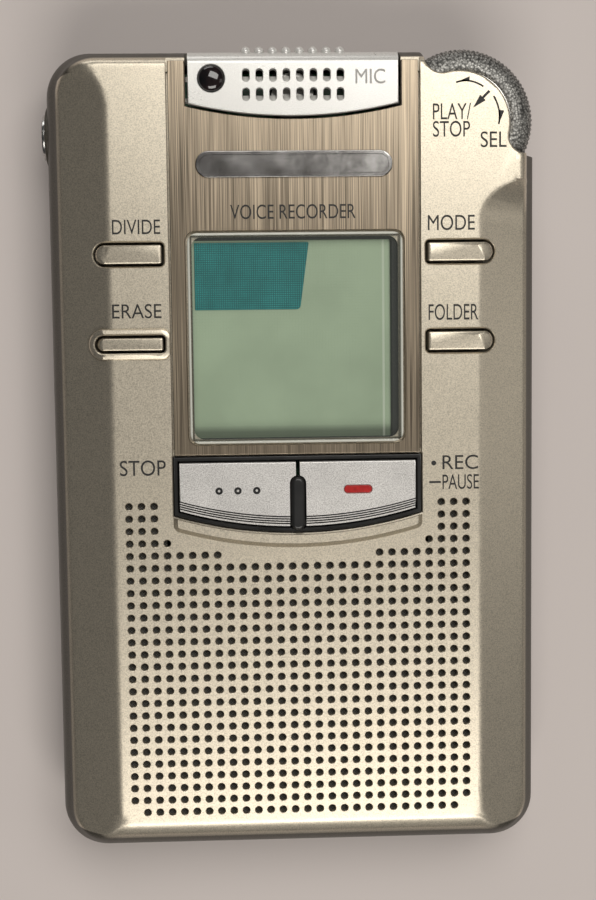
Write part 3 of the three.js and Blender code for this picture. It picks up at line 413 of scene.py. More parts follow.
def prism(loop, levels, lid=None):
    """A closed body whose section is an outline, or an outline worked out from an inset. levels
    is a list of (inset, height), from the bottom up. lid makes its top follow a surface."""
    drawn = loop if callable(loop) else lambda inset: offset(loop, inset) if inset else loop
    rings = [lifted(drawn(inset), height) for inset, height in levels]
    if lid is None:
        return stack(rings)
    flat = rings[-1][:, :2]
    extra, faces = skin(flat, crease_lines(), 0.12)
    return stack(rings, (lifted(extra, lid), faces))


def block(x0, x1, y0, y1, z0, z1):
    """A box between two values of x, of y and of z."""
    return prism(rectangle(x0, x1, y0, y1), [(0, z0), (0, z1)])


def rod(x, y, z0, z1, radius, sides=40):
    """An upright cylinder."""
    return prism(circle(x, y, radius, sides), [(0, z0), (0, z1)])


def lathe(x, y, profile, sides=72, axis="z"):
    """A body turned about an axis: the ring at (radius, height) is the circle of that radius.
    The profile runs upwards from the axis and back to it, or closes on itself."""
    profile = np.asarray(profile, float)
    a = 2 * pi * np.arange(sides) / sides
    closed = profile[0, 0] > 0
    inner = profile if closed else profile[1:-1]
    rings = np.stack((x + inner[:, :1] * np.cos(a), y + inner[:, :1] * np.sin(a),
                      np.repeat(inner[:, 1:2], sides, 1)), axis=2)
    faces = quads(sides, len(inner), closed).tolist()
    vertices = rings.reshape(-1, 3)
    if not closed:
        i = np.arange(sides)
        j = (i + 1) % sides
        poles = np.array([(x, y, profile[0, 1]), (x, y, profile[-1, 1])])
        low, high = len(vertices), len(vertices) + 1
        last = (len(inner) - 1) * sides
        faces += np.column_stack((j, i, np.full(sides, low))).tolist()
        faces += np.column_stack((i + last, j + last, np.full(sides, high))).tolist()
        vertices = np.concatenate((vertices, poles))
    obj = body(vertices, faces)
    if axis == "x":
        obj.data.transform(Matrix(((0, 0, 1, 0), (1, 0, 0, 0), (0, 1, 0, 0), (0, 0, 0, 1))))
    if axis == "y":
        obj.data.transform(Matrix(((0, 1, 0, 0), (0, 0, 1, 0), (1, 0, 0, 0), (0, 0, 0, 1))))
    return obj


def baked(obj):
    """The object's mesh with its modifiers applied."""
    graph = bpy.context.evaluated_depsgraph_get()
    mesh = bpy.data.meshes.new_from_object(obj.evaluated_get(graph))
    old = obj.data
    obj.modifiers.clear()
    obj.data = mesh
    bpy.data.meshes.remove(old)
    return obj


def combine(obj, operation, tools):
    """Joins tools to a body or cuts them out of it. A tool is used up."""
    for tool in tools:
        step = obj.modifiers.new("step", "BOOLEAN")
        step.solver = "MANIFOLD"
        step.operation = operation
        step.object = tool
    baked(obj)
    for tool in tools:
        bpy.data.meshes.remove(tool.data)
    return obj


def cut(obj, *tools):
    """The body without the tools."""
    return combine(obj, "DIFFERENCE", tools)


def join(obj, *tools):
    """The body and the tools as one."""
    return combine(obj, "UNION", tools)


def common(obj, *tools):
    """What the body shares with the tools."""
    return combine(obj, "INTERSECT", tools)


def coordinates(mesh):
    """A mesh's points as rows."""
    co = np.empty(3 * len(mesh.vertices), np.float32)
    mesh.vertices.foreach_get("co", co)
    return co.reshape(-1, 3)


def together(*objs):
    """One scratch object that holds several separate bodies."""
    vertices, faces, count = [], [], 0
    for obj in objs:
        mesh = obj.data
        vertices.append(coordinates(mesh))
        faces += [[v + count for v in face.vertices] for face in mesh.polygons]
        count += len(mesh.vertices)
        bpy.data.meshes.remove(mesh)
    return body(np.concatenate(vertices), faces)


def piece(name, obj, material, slot, *stands_for, rides="case", sharp=32):
    """Turns a scratch body into a finished piece: metres, smooth shading with sharp edges above
    an angle, its material, the body that it rides on and the node that it stands for."""
    obj.name = name
    mesh = obj.data
    mesh.name = name
    mesh.transform(Matrix.Scale(MM, 4))
    mesh.shade_smooth()
    mesh.set_sharp_from_angle(angle=radians(sharp))
    weigh = obj.modifiers.new("weigh", "WEIGHTED_NORMAL")
    weigh.keep_sharp = True
    mesh = baked(obj).data
    mesh.materials.clear()
    mesh.materials.append(material)
    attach(obj, rides)
    if stands_for:
        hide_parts(*stands_for)
    return obj


def coat(material, *nodes):
    """Gives frame nodes that keep their shape a procedural material."""
    for node in nodes:
        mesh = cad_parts[node].data
        mesh.materials.clear()
        mesh.materials.append(material)


# --- materials

def shaded(colour, factor):
    """A colour times a factor, with no part above 1."""
    return tuple(min(c * factor, 1) for c in colour)


class Wire:
    """One output socket in a material. Arithmetic on it adds Math nodes."""

    def __init__(self, finish, socket):
        self.finish = finish
        self.socket = socket

    def _math(self, operation, a, b):
        return self.finish.function(operation, a, b)

    def __add__(self, other):
        return self._math("ADD", self, other)

    def __sub__(self, other):
        return self._math("SUBTRACT", self, other)

    def __rsub__(self, other):
        return self._math("SUBTRACT", other, self)

    def __mul__(self, other):
        return self._math("MULTIPLY", self, other)

    def __pow__(self, other):
        return self._math("POWER", self, other)

    def __gt__(self, other):
        return self._math("GREATER_THAN", self, other)

    def __lt__(self, other):
        return self._math("LESS_THAN", self, other)

    __radd__ = __add__
    __rmul__ = __mul__


class Finish:
    """A material with one Principled shader, and short ways to add the nodes that feed it."""

    def __init__(self, name, **sockets):
        self.material = bpy.data.materials.new(name)
        self.material.use_nodes = True
        self.tree = self.material.node_tree
        self.tree.nodes.clear()
        self.shader = self.tree.nodes.new("ShaderNodeBsdfPrincipled")
        output = self.tree.nodes.new("ShaderNodeOutputMaterial")
        self.tree.links.new(self.shader.outputs[0], output.inputs[0])
        self.set(**sockets)

    def set(self, **sockets):
        """Sets or links the shader's sockets, named in lower case with underscores. Returns the
        material."""
        for key, value in sockets.items():
            name = key.replace("_", " ").title().replace("Ior", "IOR")
            self._feed(self.shader.inputs[name], value)
        return self.material

    def _feed(self, socket, value):
        if isinstance(value, Wire):
            self.tree.links.new(value.socket, socket)
        elif socket.type == "RGBA" and len(value) == 3:
            socket.default_value = (*value, 1)
        else:
            socket.default_value = value

    def node(self, kind, settings=None, inputs=None, output=0):
        """Adds any node: its settings first, then the values or wires of its sockets."""
        node = self.tree.nodes.new(kind)
        for key, value in (settings or {}).items():
            if key == "stops":
                while len(node.color_ramp.elements) < len(value):
                    node.color_ramp.elements.new(0.5)
                for stop, (place, colour) in zip(node.color_ramp.elements, value):
                    stop.position, stop.color = place, (*colour, 1)
            else:
                setattr(node, key, value)
        for key, value in (inputs or {}).items():
            self._feed(node.inputs[key], value)
        return Wire(self, node.outputs[output])

    def place(self, scale=(1, 1, 1)):
        """Object coordinates in millimetres, stretched by a scale."""
        where = self.node("ShaderNodeTexCoord", output="Object")
        factor = tuple(s / MM for s in scale)
        return self.node("ShaderNodeVectorMath", {"operation": "MULTIPLY"}, {0: where, 1: factor})

    def axis(self, which):
        """One object coordinate in millimetres."""
        return self.node("ShaderNodeSeparateXYZ", None, {0: self.place()}, "XYZ".index(which))

    def noise(self, grain, detail=2.0, roughness=0.5, stretch=(1, 1, 1)):
        """Noise whose lumps are about grain millimetres across, from 0 to 1."""
        scale = tuple(s / grain for s in stretch)
        return self.node("ShaderNodeTexNoise", None, {
            "Vector": self.place(scale), "Scale": 1.0, "Detail": detail, "Roughness": roughness})

    def band(self, value, low, high, soft):
        """1 where a value is between two limits, 0 elsewhere, with soft edges."""
        def step(wire, edge):
            ramp = {"From Min": edge - soft, "From Max": edge + soft}
            return self.node("ShaderNodeMapRange", {"clamp": True}, {"Value": wire, **ramp})
        return step(value, low) * (1 - step(value, high))

    def ramp(self, wire, *stops):
        """Colours blended along a value through (value, colour) stops."""
        return self.node("ShaderNodeValToRGB", {"stops": stops}, {0: wire})

    def blend(self, factor, a, b):
        """Colour a where the factor is 0 and b where it is 1."""
        return self.node("ShaderNodeMix", {"data_type": "RGBA"}, {0: factor, 6: a, 7: b}, 2)

    def function(self, operation, a, b=0.0):
        """A Math node of any kind."""
        return self.node("ShaderNodeMath", {"operation": operation}, {0: a, 1: b})

    def lines(self, value, pitch, width):
        """1 on thin lines that repeat with a pitch along a value, 0 between them."""
        return self.function("PINGPONG", value, pitch / 2) < width / 2

    def cells(self, grain):
        """Distance from the middles of Voronoi cells about grain millimetres across."""
        inputs = {"Vector": self.place((1 / grain,) * 3), "Scale": 1.0}
        return self.node("ShaderNodeTexVoronoi", None, inputs, "Distance")

    def bump(self, height, depth, strength=1.0):
        """A normal from a height between 0 and 1 that stands for a depth in millimetres."""
        inputs = {"Height": height, "Strength": strength, "Distance": depth * MM}
        return self.node("ShaderNodeBump", None, inputs)


def paint(colour, name="champagne_paint"):
    """Metallic paint: pale and dark flakes a sixth of a millimetre across in a satin coat, with a
    faint mottle and a fine orange peel. Below the rim and round both rolled ends it turns a very
    dark brown, which is painted shade of the walls."""
    finish = Finish(name, coat_weight=0.08, coat_roughness=0.25)
    flake = finish.noise(0.16, 3, 0.7)
    mottle = finish.noise(2.2, 3, 0.5)
    dark = shaded(colour, 0.74)
    light = shaded(colour, 1.16)
    tone = finish.ramp(flake * 0.93 + mottle * 0.07, (0.36, dark), (0.5, colour), (0.64, light))
    z = finish.axis("Z")
    # Painted shade: the walls below the rim turn very dark, and at both rolled ends the dark reaches higher.
    ends = finish.band(finish.function("ABSOLUTE", finish.axis("Y")), END - 3.5, FAR, 0.3)
    below = 1 - finish.band(z - ends * 1.85, FACE - RIM_DROP - 0.15, FAR, 0.3)
    wall_shade_bronze = finish.ramp(flake, (0.36, shaded(colour, 0.07)), (0.64, shaded(colour, 0.18)))
    tone = finish.blend(below, tone, wall_shade_bronze)
    peel = finish.noise(0.3, 2, 0.5)
    rough = 0.3 + flake * 0.17 + below * 0.12
    relief = finish.bump(peel + flake * 0.5, 0.01, 0.5)
    return finish.set(base_color=tone, roughness=rough, metallic=0.85 - below * 0.35, normal=relief)


def brushed_bronze(colour):
    """Anodised plate brushed along Y: streaks a tenth to half a millimetre wide and centimetres
    long that carry the tone, the roughness and a shallow relief."""
    finish = Finish("brushed_bronze", metallic=0.85)
    fine = finish.noise(0.1, 1, 0.6, (1, 0.005, 1))
    broad = finish.noise(0.5, 1, 0.5, (1, 0.01, 1))
    streak = fine * 0.75 + broad * 0.25
    dark = shaded(colour, 0.42)
    light = shaded(colour, 1.7)
    tone = finish.ramp(streak, (0.34, dark), (0.5, colour), (0.66, light))
    return finish.set(base_color=tone, roughness=0.22 + fine * 0.2, normal=finish.bump(fine, 0.012, 0.5))


def silver_paint():
    """Silver paint: fine bright flakes in a satin coat, with thumbed patches where it is duller."""
    finish = Finish("silver_paint", metallic=0.3, coat_weight=0.25, coat_roughness=0.15)
    flake = finish.noise(0.1, 2, 0.6)
    worn = finish.noise(4.0, 4, 0.6)
    tone = finish.ramp(flake, (0.3, (0.62, 0.61, 0.58)), (0.7, (0.86, 0.85, 0.82)))
    return finish.set(base_color=tone, roughness=0.22 + worn * 0.16, normal=finish.bump(flake, 0.006, 0.4))


def key_silver(keys):
    """Silver paint on a key, with painted shade, near black, in the grooves of its front edge.
    Across the ribs the height of their tops falls evenly, so the painted shade is what lies under that slope."""
    finish = Finish("key_silver", metallic=0.6, coat_weight=0.15, coat_roughness=0.2)
    flake = finish.noise(0.13, 2, 0.6)
    worn = finish.noise(4.0, 4, 0.6)
    tone = finish.ramp(flake, (0.34, (0.55, 0.53, 0.51)), (0.62, (0.92, 0.9, 0.87)))
    x, y, z = finish.axis("X"), finish.axis("Y"), finish.axis("Z")
    down = KEYS_LOW + KEYS_R - y
    inwards = KEYS_R - (x * x + down * down) ** 0.5
    first = KEY_GAP + keys.pitch * keys.ribs + 0.1
    slope = KEY_HIGH[2] - (first - inwards) * (keys.drop / keys.pitch) - keys.drop - 0.1
    # Painted shade: whatever lies under the ribs' slope is coloured near black.
    groove = (z < slope) * (inwards < first + 0.02)
    tone = finish.blend(groove, tone, (0.008, 0.008, 0.008))
    return finish.set(base_color=tone, roughness=0.3 + worn * 0.14 + groove * 0.2,
                      normal=finish.bump(flake, 0.012, 0.5))


def plated(name, dark, light, rough):
    """Bright plating with a film of handling marks: noise at two scales tones the metal and
    dulls it."""
    finish = Finish(name, metallic=1.0)
    haze = finish.noise(3.0, 4, 0.6)
    grain = finish.noise(0.2, 3, 0.6)
    tone = finish.ramp(haze * 0.7 + grain * 0.3, (0.3, dark), (0.7, light))
    return finish.set(base_color=tone, roughness=rough + haze * 0.12, normal=finish.bump(grain, 0.004, 0.3))


def brushed_steel():
    """Nickel-plated steel: a grain drawn out along X, and dull spots."""
    finish = Finish("brushed_steel", metallic=1.0)
    grain = finish.noise(0.12, 3, 0.7, (0.05, 1, 1))
    spots = finish.noise(1.5, 4, 0.6)
    tone = finish.ramp(grain * 0.6 + spots * 0.4, (0.3, (0.42, 0.41, 0.39)), (0.7, (0.72, 0.71, 0.68)))
    return finish.set(base_color=tone, roughness=0.22 + grain * 0.2, normal=finish.bump(grain, 0.006, 0.4))


def moulded_black(name="moulded_black", tone=0.018, rough=0.38):
    """Moulded black plastic: a spark-eroded grain, cells a fifth of a millimetre across."""
    finish = Finish(name)
    grain = finish.cells(0.2)
    haze = finish.noise(5.0, 3, 0.5)
    colour = finish.ramp(haze, (0.3, (tone, tone, tone)), (0.75, (tone * 1.9, tone * 1.9, tone * 1.85)))
    return finish.set(base_color=colour, roughness=rough + haze * 0.15,
                      normal=finish.bump(grain, 0.01, 0.35))


def smoked_lens():
    """Glossy smoked lens: nearly black, with a trace of red and a few fine marks."""
    finish = Finish("smoked_lens", coat_weight=0.6, coat_roughness=0.03)
    marks = finish.noise(0.8, 4, 0.6, (1, 0.2, 1))
    tone = finish.ramp(marks, (0.35, (0.006, 0.006, 0.007)), (0.75, (0.03, 0.018, 0.018)))
    return finish.set(base_color=tone, roughness=0.06 + marks * 0.08)


def moulded_rubber():
    """Moulded rubber: dull black with a powdery bloom and a soft grain."""
    finish = Finish("moulded_rubber")
    bloom = finish.noise(1.2, 5, 0.65)
    tone = finish.ramp(bloom, (0.35, (0.02, 0.02, 0.02)), (0.7, (0.06, 0.058, 0.055)))
    return finish.set(base_color=tone, roughness=0.62 + bloom * 0.25, normal=finish.bump(bloom, 0.03, 0.4))


def dial_plastic(colour):
    """Grey metallic plastic with a coarse sparkle: cells a quarter of a millimetre across, dark
    in the valleys and pale on the crests."""
    finish = Finish("dial_plastic", metallic=0.65)
    cell = finish.cells(0.27)
    fleck = finish.noise(0.14, 3, 0.7)
    dark = shaded(colour, 0.25)
    light = shaded(colour, 2.2)
    tone = finish.ramp(cell * 0.55 + fleck * 0.45, (0.25, light), (0.45, colour), (0.68, dark))
    return finish.set(base_color=tone, roughness=0.32 + fleck * 0.25, normal=finish.bump(cell, 0.05, 0.55))


def mark_paint(colour):
    """Glossy paint filled into a recess, lighter and darker along a faint ripple."""
    finish = Finish("mark_paint", coat_weight=0.4, coat_roughness=0.1)
    ripple = finish.noise(0.5, 3, 0.5)
    dark = shaded(colour, 0.7)
    tone = finish.ramp(ripple, (0.3, dark), (0.65, colour))
    return finish.set(base_color=tone, roughness=0.25 + ripple * 0.15, normal=finish.bump(ripple, 0.01, 0.4))


def print_ink(colour, name="print_ink"):
    """Pad-printed ink: dense, with pinholes and a slightly rough face."""
    finish = Finish(name)
    hole = finish.noise(0.12, 3, 0.6)
    pale = tuple(c + 0.05 for c in colour)
    tone = finish.ramp(hole, (0.55, colour), (0.78, pale))
    return finish.set(base_color=tone, roughness=0.45 + hole * 0.2, normal=finish.bump(hole, 0.006, 0.4))


def window_edge(finish):
    """Distance in from the window's outline, in millimetres: the smaller of the distances to its
    upright and to its level edges."""
    half = (WINDOW_HIGH - WINDOW_LOW) / 2
    middle = (WINDOW_HIGH + WINDOW_LOW) / 2
    across = half[0] - finish.function("ABSOLUTE", finish.axis("X") - middle[0])
    along = half[1] - finish.function("ABSOLUTE", finish.axis("Y") - middle[1])
    return finish.function("MINIMUM", across, along)


def window_plastic():
    """Clear window: see-through but for a painted highlight along its rounded edge and a painted
    dark line inside it, where the edge would show the black frame by refraction. A little dust and a few
    hairlines dull the middle."""
    finish = Finish("window_plastic", ior=1.49)
    edge = window_edge(finish)
    # Painted highlight: the rounded edge is made pale and nearly opaque.
    bevel_highlight = finish.band(edge, -1, 0.26, 0.03)
    # Painted dark line: the black frame as the edge would refract it.
    line = finish.band(edge, 0.3, 0.52, 0.04)
    hair = finish.noise(0.25, 2, 0.5, (1, 0.03, 1)) > 0.72
    dust = finish.noise(0.35, 4, 0.8) > 0.73
    clear = finish.blend(bevel_highlight, (0.5, 0.56, 0.5), (0.86, 0.86, 0.78))
    tone = finish.blend(line, clear, (0.012, 0.014, 0.012))
    alpha = 0.035 + bevel_highlight * 0.8 + line * 0.4 + hair * 0.02 + dust * 0.06
    return finish.set(base_color=tone, alpha=alpha, roughness=0.03 + hair * 0.1 + dust * 0.3)


def display_glass(colour):
    """Reflective display: a pale grey-green with a faint grid, cloudy by a few per cent and lighter
    towards the top by painted light, with a painted shadow along its foot and a painted glint beside the
    right edge."""
    finish = Finish("display_glass", specular_ior_level=0.3)
    x, y = finish.axis("X"), finish.axis("Y")
    grid = finish.function("MAXIMUM", finish.lines(x, 0.36, 0.05), finish.lines(y, 0.36, 0.05))
    cloud = finish.noise(7.0, 3, 0.5)
    dark = shaded(colour, 0.88)
    light = shaded(colour, 1.06)
    # Painted light: the tone grows lighter towards the top.
    tone = finish.ramp(cloud + (y - 14) * 0.012, (0.25, dark), (0.7, light))
    tone = finish.blend(grid * 0.16, tone, shaded(colour, 0.6))
    # Painted shadow: a dark band along the foot.
    low = finish.band(y, -FAR, LCD_LOW[1] + LCD_SHADE, 0.4)
    tone = finish.blend(low * 0.75, tone, shaded(colour, 0.3))
    # Painted glint: a light line beside the right edge.
    tone = finish.blend(finish.band(x, *LCD_GLINT, 0.05) * 0.35, tone, (0.75, 0.8, 0.7))
    return finish.set(base_color=tone, roughness=0.3 + cloud * 0.1)


def tinted_film(colour):
    """Coloured display film with a woven grid of a quarter millimetre: dark lines both ways over
    a faintly cloudy ground."""
    finish = Finish("tinted_film", specular_ior_level=0.2)
    x, y = finish.axis("X"), finish.axis("Y")
    grid = finish.function("MAXIMUM", finish.lines(x, 0.26, 0.07), finish.lines(y, 0.26, 0.07))
    cloud = finish.noise(3.0, 3, 0.6)
    pale = finish.ramp(cloud, (0.3, colour), (0.75, tuple(c * 1.5 + 0.01 for c in colour)))
    dark = shaded(colour, 0.45)
    return finish.set(base_color=finish.blend(grid, pale, dark), roughness=0.4 + grid * 0.2,
                      normal=finish.bump(grid, 0.01, 0.3))


def dust_cloth():
    """Grey dust cloth: a plain weave of 0.34 mm threads, over where sin x * sin y is positive."""
    finish = Finish("dust_cloth")
    turns = 2 * pi / 0.34
    x = finish.function("SINE", finish.axis("X") * turns)
    y = finish.function("SINE", finish.axis("Y") * turns)
    weave = x * y * 0.5 + 0.5
    fluff = finish.noise(0.8, 4, 0.6)
    tone = finish.ramp(weave * 0.7 + fluff * 0.3, (0.2, (0.05, 0.05, 0.048)), (0.8, (0.2, 0.195, 0.18)))
    return finish.set(base_color=tone, roughness=0.85 + fluff * 0.1, normal=finish.bump(weave, 0.05, 0.6))


def circuit_board():
    """Solder mask over copper: tracks run both ways on a 1.27 mm grid and break off where noise
    is low, with tinned dots on the same grid."""
    finish = Finish("circuit_board", coat_weight=0.3, coat_roughness=0.2)
    x, y = finish.axis("X"), finish.axis("Y")
    choose = finish.noise(4.0, 1, 0.3)
    tracks = finish.lines(x, 1.27, 0.3) * (choose > 0.52) + finish.lines(y, 1.27, 0.3) * (choose < 0.47)
    dots = finish.lines(x, 2.54, 0.6) * finish.lines(y, 2.54, 0.6)
    tone = finish.blend(tracks, (0.01, 0.1, 0.035), (0.03, 0.2, 0.08))
    tone = finish.blend(dots, tone, (0.6, 0.58, 0.52))
    return finish.set(base_color=tone, roughness=0.3 + choose * 0.1, metallic=dots * 0.9,
                      normal=finish.bump(tracks, 0.03, 0.4))


def paper_cone():
    """Pressed paper: matted fibres and shallow rings round the loudspeaker's axis."""
    middle = midpoint("speaker_cone")
    finish = Finish("paper_cone")
    x, y = finish.axis("X") - middle[0], finish.axis("Y") - middle[1]
    rings = finish.lines((x * x + y * y) ** 0.5, 1.1, 0.5)
    fibre = finish.noise(0.3, 5, 0.75)
    tone = finish.ramp(fibre, (0.3, (0.02, 0.018, 0.016)), (0.7, (0.07, 0.062, 0.055)))
    relief = finish.bump(rings * 0.4 + fibre, 0.06, 0.5)
    return finish.set(base_color=tone, roughness=0.8 + fibre * 0.15, normal=relief)


def cell_jacket(name, colour, plus_end, minus_end):
    """A cell's printed jacket along Y: bare steel at both ends, a copper band next to the plus
    end, and a plain coloured sleeve with a faint crease pattern."""
    finish = Finish(name, coat_weight=0.3, coat_roughness=0.15)
    y = finish.axis("Y")
    way = 1 if plus_end > minus_end else -1
    along = (y - minus_end) * way
    length = abs(plus_end - minus_end)
    sleeve = finish.band(along, 0.7, length - 1.6, 0.05)
    copper = finish.band(along, length - 11, length - 1.6, 0.05)
    crease = finish.noise(1.8, 3, 0.6, (1, 0.2, 1))
    shade = finish.ramp(crease, (0.3, shaded(colour, 0.75)), (0.7, colour))
    tone = finish.blend(sleeve, (0.7, 0.69, 0.66), finish.blend(copper, shade, (0.55, 0.24, 0.09)))
    metal = 1 - sleeve * 0.6 + copper * 0.3
    return finish.set(base_color=tone, metallic=metal, roughness=0.25 + crease * 0.15,
                      normal=finish.bump(crease, 0.02, 0.3))


# --- the casing

# Columns round a corner of the casing, and along its long and short sides.
CORNER_COLUMNS = 14
STRAIGHT_COLUMNS = (78, 44)


def casing_columns():
    """Where the casing's upright columns stand: the corner, the angle of the outward normal and
    the share of the way along the straight side that follows the corner."""
    corner, angle, along = [], [], []
    for k in range(4):
        start = 90 * k - 90
        straight = STRAIGHT_COLUMNS[k % 2]
        turn = np.linspace(start, start + 90, CORNER_COLUMNS + 1)
        share = np.arange(1, straight) / straight
        corner += [np.full(len(turn) + len(share), k)]
        angle += [turn, np.full(len(share), start + 90.0)]
        along += [np.zeros(len(turn)), share]
    return np.concatenate(corner), np.radians(np.concatenate(angle)), np.concatenate(along)


COLUMN_CORNER, COLUMN_ANGLE, COLUMN_ALONG = casing_columns()
COLUMN_OUT = np.column_stack((np.cos(COLUMN_ANGLE), np.sin(COLUMN_ANGLE)))


def casing_outline(z, wall):
    """The casing's outline at one height, or at one height for each column: a rectangle with
    round corners, drawn in by the profile of that height and by a wall."""
    z = np.broadcast_to(np.asarray(z, float), COLUMN_ANGLE.shape)
    draw = monotone(z, DRAW_Z, DRAW_SIDE)
    radius = np.maximum(CORNER - wall - 0.35 * draw, 1)
    x = EDGE - draw - wall - radius
    top = END - monotone(z, DRAW_Z, DRAW_TOP) - wall - radius
    low = -END + monotone(z, DRAW_Z, DRAW_BOTTOM) + wall + radius
    middle_x = np.stack((x, x, -x, -x))
    middle_y = np.stack((low, top, top, low))
    i = np.arange(len(z))
    k, n = COLUMN_CORNER, (COLUMN_CORNER + 1) % 4
    centre = np.column_stack((
        middle_x[k, i] * (1 - COLUMN_ALONG) + middle_x[n, i] * COLUMN_ALONG,
        middle_y[k, i] * (1 - COLUMN_ALONG) + middle_y[n, i] * COLUMN_ALONG))
    return centre + radius[:, None] * COLUMN_OUT


def casing_front(low, wall, drop, edge_round, rows=20, turns=6):
    """The front half of the casing's form from a height up, drawn in by a wall and lowered by a
    drop. Each column rises to the height where it meets the front surface, found by halving,
    and turns onto it along a parabola through the wall, the corner and the surface."""
    bottom, top = np.full(len(COLUMN_ANGLE), low), np.full(len(COLUMN_ANGLE), FACE)
    for _ in range(40):
        half = (bottom + top) / 2
        x, y = casing_outline(half, wall).T
        over = half > face_height(x, y) - drop
        top, bottom = np.where(over, half, top), np.where(over, bottom, half)
    corner = lifted(casing_outline(top, wall), 0)
    corner[:, 2] = top
    start = top - edge_round
    rings = []
    for share in np.linspace(0, 1, rows):
        z = low + (start - low) * share
        rings.append(np.column_stack((casing_outline(z, wall), z)))
    onto = lifted(corner[:, :2] - edge_round * COLUMN_OUT, above(-drop))
    for u in np.linspace(0, 1, turns + 1)[1:]:
        rings.append((1 - u) ** 2 * rings[rows - 1] + 2 * u * (1 - u) * corner + u * u * onto)
    rings.append(lifted(corner[:, :2] - 1.7 * edge_round * COLUMN_OUT, above(-drop)))
    extra, faces = skin(rings[-1][:, :2], crease_lines(), 0.4)
    return stack(rings, (lifted(extra, above(-drop)), faces))


def casing_back(low, high, wall, rows=16):
    """The back half of the casing's form. The levels crowd towards the back, where it curves."""
    levels = low + (high - low) * np.linspace(0, 1, rows) ** 2
    return stack([lifted(casing_outline(z, wall), z) for z in levels])


def ear_cutter(low, high, wall=0.0, flare=0.0):
    """The corner outside the ear: an arc round the dial with a fillet at both ends, opening
    towards the corner. flare chamfers the ear's upper edge."""
    (top_angle, top_fillet), (side_angle, side_fillet) = EAR_FILLETS
    upper = arc(EAR, EAR_R + top_fillet, top_angle, top_angle, 1)[0]
    lower = arc(EAR, EAR_R + side_fillet, side_angle, side_angle, 1)[0]
    top_fillet += wall
    side_fillet += wall
    outline = np.concatenate((
        arc(upper, top_fillet, 180, 180 + top_angle, 14),
        arc(EAR, EAR_R - wall, top_angle, side_angle, 40)[1:],
        arc(lower, side_fillet, 180 + side_angle, 270, 12)[1:],
        [(FAR, lower[1] - side_fillet), (FAR, FAR), (upper[0] - top_fillet, FAR)]))
    if not flare:
        return prism(outline, [(0, low), (0, high)])
    edge = [(0, FACE - flare), (-flare * 0.3, FACE - flare * 0.35), (-flare, FACE)]
    return prism(outline, [(0, low), *edge, (-flare, high)])


def button_outline(side, y, shrink=0.0, tighter=0.0):
    """A side button's outline: nearly square at its inner end and a half circle at its outer."""
    half = BUTTON_H / 2 - tighter - shrink
    inner = max(0.55 - shrink, 0.12)
    x0, x1 = BUTTON_IN + shrink, BUTTON_OUT - shrink
    outer = half - 0.01
    low, high = y - half, y + half
    loop = rounded([(x0, low, inner), (x1, low, outer), (x1, high, outer), (x0, high, inner)], 12)
    return loop if side > 0 else loop[::-1] * (-1, 1)


def keys_outline(shrink=0.0):
    """The opening for the keys, with a bowed lower edge."""
    half = KEYS_HALF - shrink
    return bowed(-half, half, KEYS_TOP - shrink, KEYS_LOW + shrink, KEYS_R - shrink)


def cap_outline(grow=0.0):
    """The microphone cap's outline: a bowed lower edge, open beyond the end of the casing."""
    return bowed(-CAP_HALF - grow, CAP_HALF + grow, FAR, CAP_BOW - grow, CAP_R + grow)


def window_outline(grow=0.0):
    """The display window's outline."""
    return rectangle(WINDOW_LOW[0] - grow, WINDOW_HIGH[0] + grow, WINDOW_LOW[1] - grow,
                     WINDOW_HIGH[1] + grow, 1.2)


def face_opening(loop, low, chamfer=0.12, lift=0.0):
    """A cutter for an opening in the front surface, with its upper edge chamfered."""
    return prism(loop, [(0, low), (0, above(lift - chamfer)), (-chamfer - 0.04, above(lift + 0.04)),
                        (-chamfer - 0.04, FACE + 4)])


def grille_holes(grille):
    """Cutters for the drilled holes: a square grid that steps back round the keys and loses its
    two lowest corners. Each is a column of rings, with a countersink at the front."""
    pitch, radius, sink = grille.pitch, grille.hole / 2, grille.countersink
    column, row = np.meshgrid(np.arange(GRILLE_COLUMNS), np.arange(GRILLE_ROWS))
    x = (column - (GRILLE_COLUMNS - 1) / 2) * pitch
    y = GRILLE_TOP - row * pitch
    narrow = np.select([row < 3, row == 3, row == 4], [11.3, 10.3, 6.3], 0) * pitch
    corner = (row == GRILLE_ROWS - 1) & (np.abs(x) > 13 * pitch)
    keep = (np.abs(x) > narrow) & ~corner
    centres = np.column_stack((x[keep], y[keep]))
    a = 2 * pi * np.arange(grille.sides) / grille.sides
    levels = [(radius, CEILING - 1), (radius, FACE - sink), (radius + sink + 0.03, FACE + 0.03),
              (radius + sink + 0.03, FACE + 1)]
    rings = np.stack([np.stack((centres[:, :1] + r * np.cos(a), centres[:, 1:] + r * np.sin(a),
                                np.full((len(centres), len(a)), z)), axis=2) for r, z in levels], axis=1)
    count = len(a)
    i = np.arange(count)
    starts = np.arange(len(centres)) * len(levels) * count
    sides = (starts[:, None, None] + quads(count, len(levels))).reshape(-1, 4).tolist()
    lids = (starts[:, None] + i + (len(levels) - 1) * count).tolist()
    bases = (starts[:, None] + i[::-1]).tolist()
    return body(rings.reshape(-1, 3), sides + lids + bases)


def jack_pad():
    """A low round pad of the casing round the earphone socket, with a soft outer edge."""
    out = -EDGE - 0.2
    profile = [(0, -EDGE + 3), (PAD_R, -EDGE + 3), (PAD_R, out + 0.25), (PAD_R - 0.08, out + 0.08),
               (PAD_R - 0.3, out), (0, out)]
    return lathe(JACK[1], JACK[2], profile[::-1], 64, "x")


def socket_cutter():
    """A rod along X that opens the wall for the earphone collar."""
    profile = [(0, -EDGE - 5), (SOCKET_R, -EDGE - 5), (SOCKET_R, -EDGE + 6), (0, -EDGE + 6)]
    return lathe(JACK[1], JACK[2], profile, 64, "x")


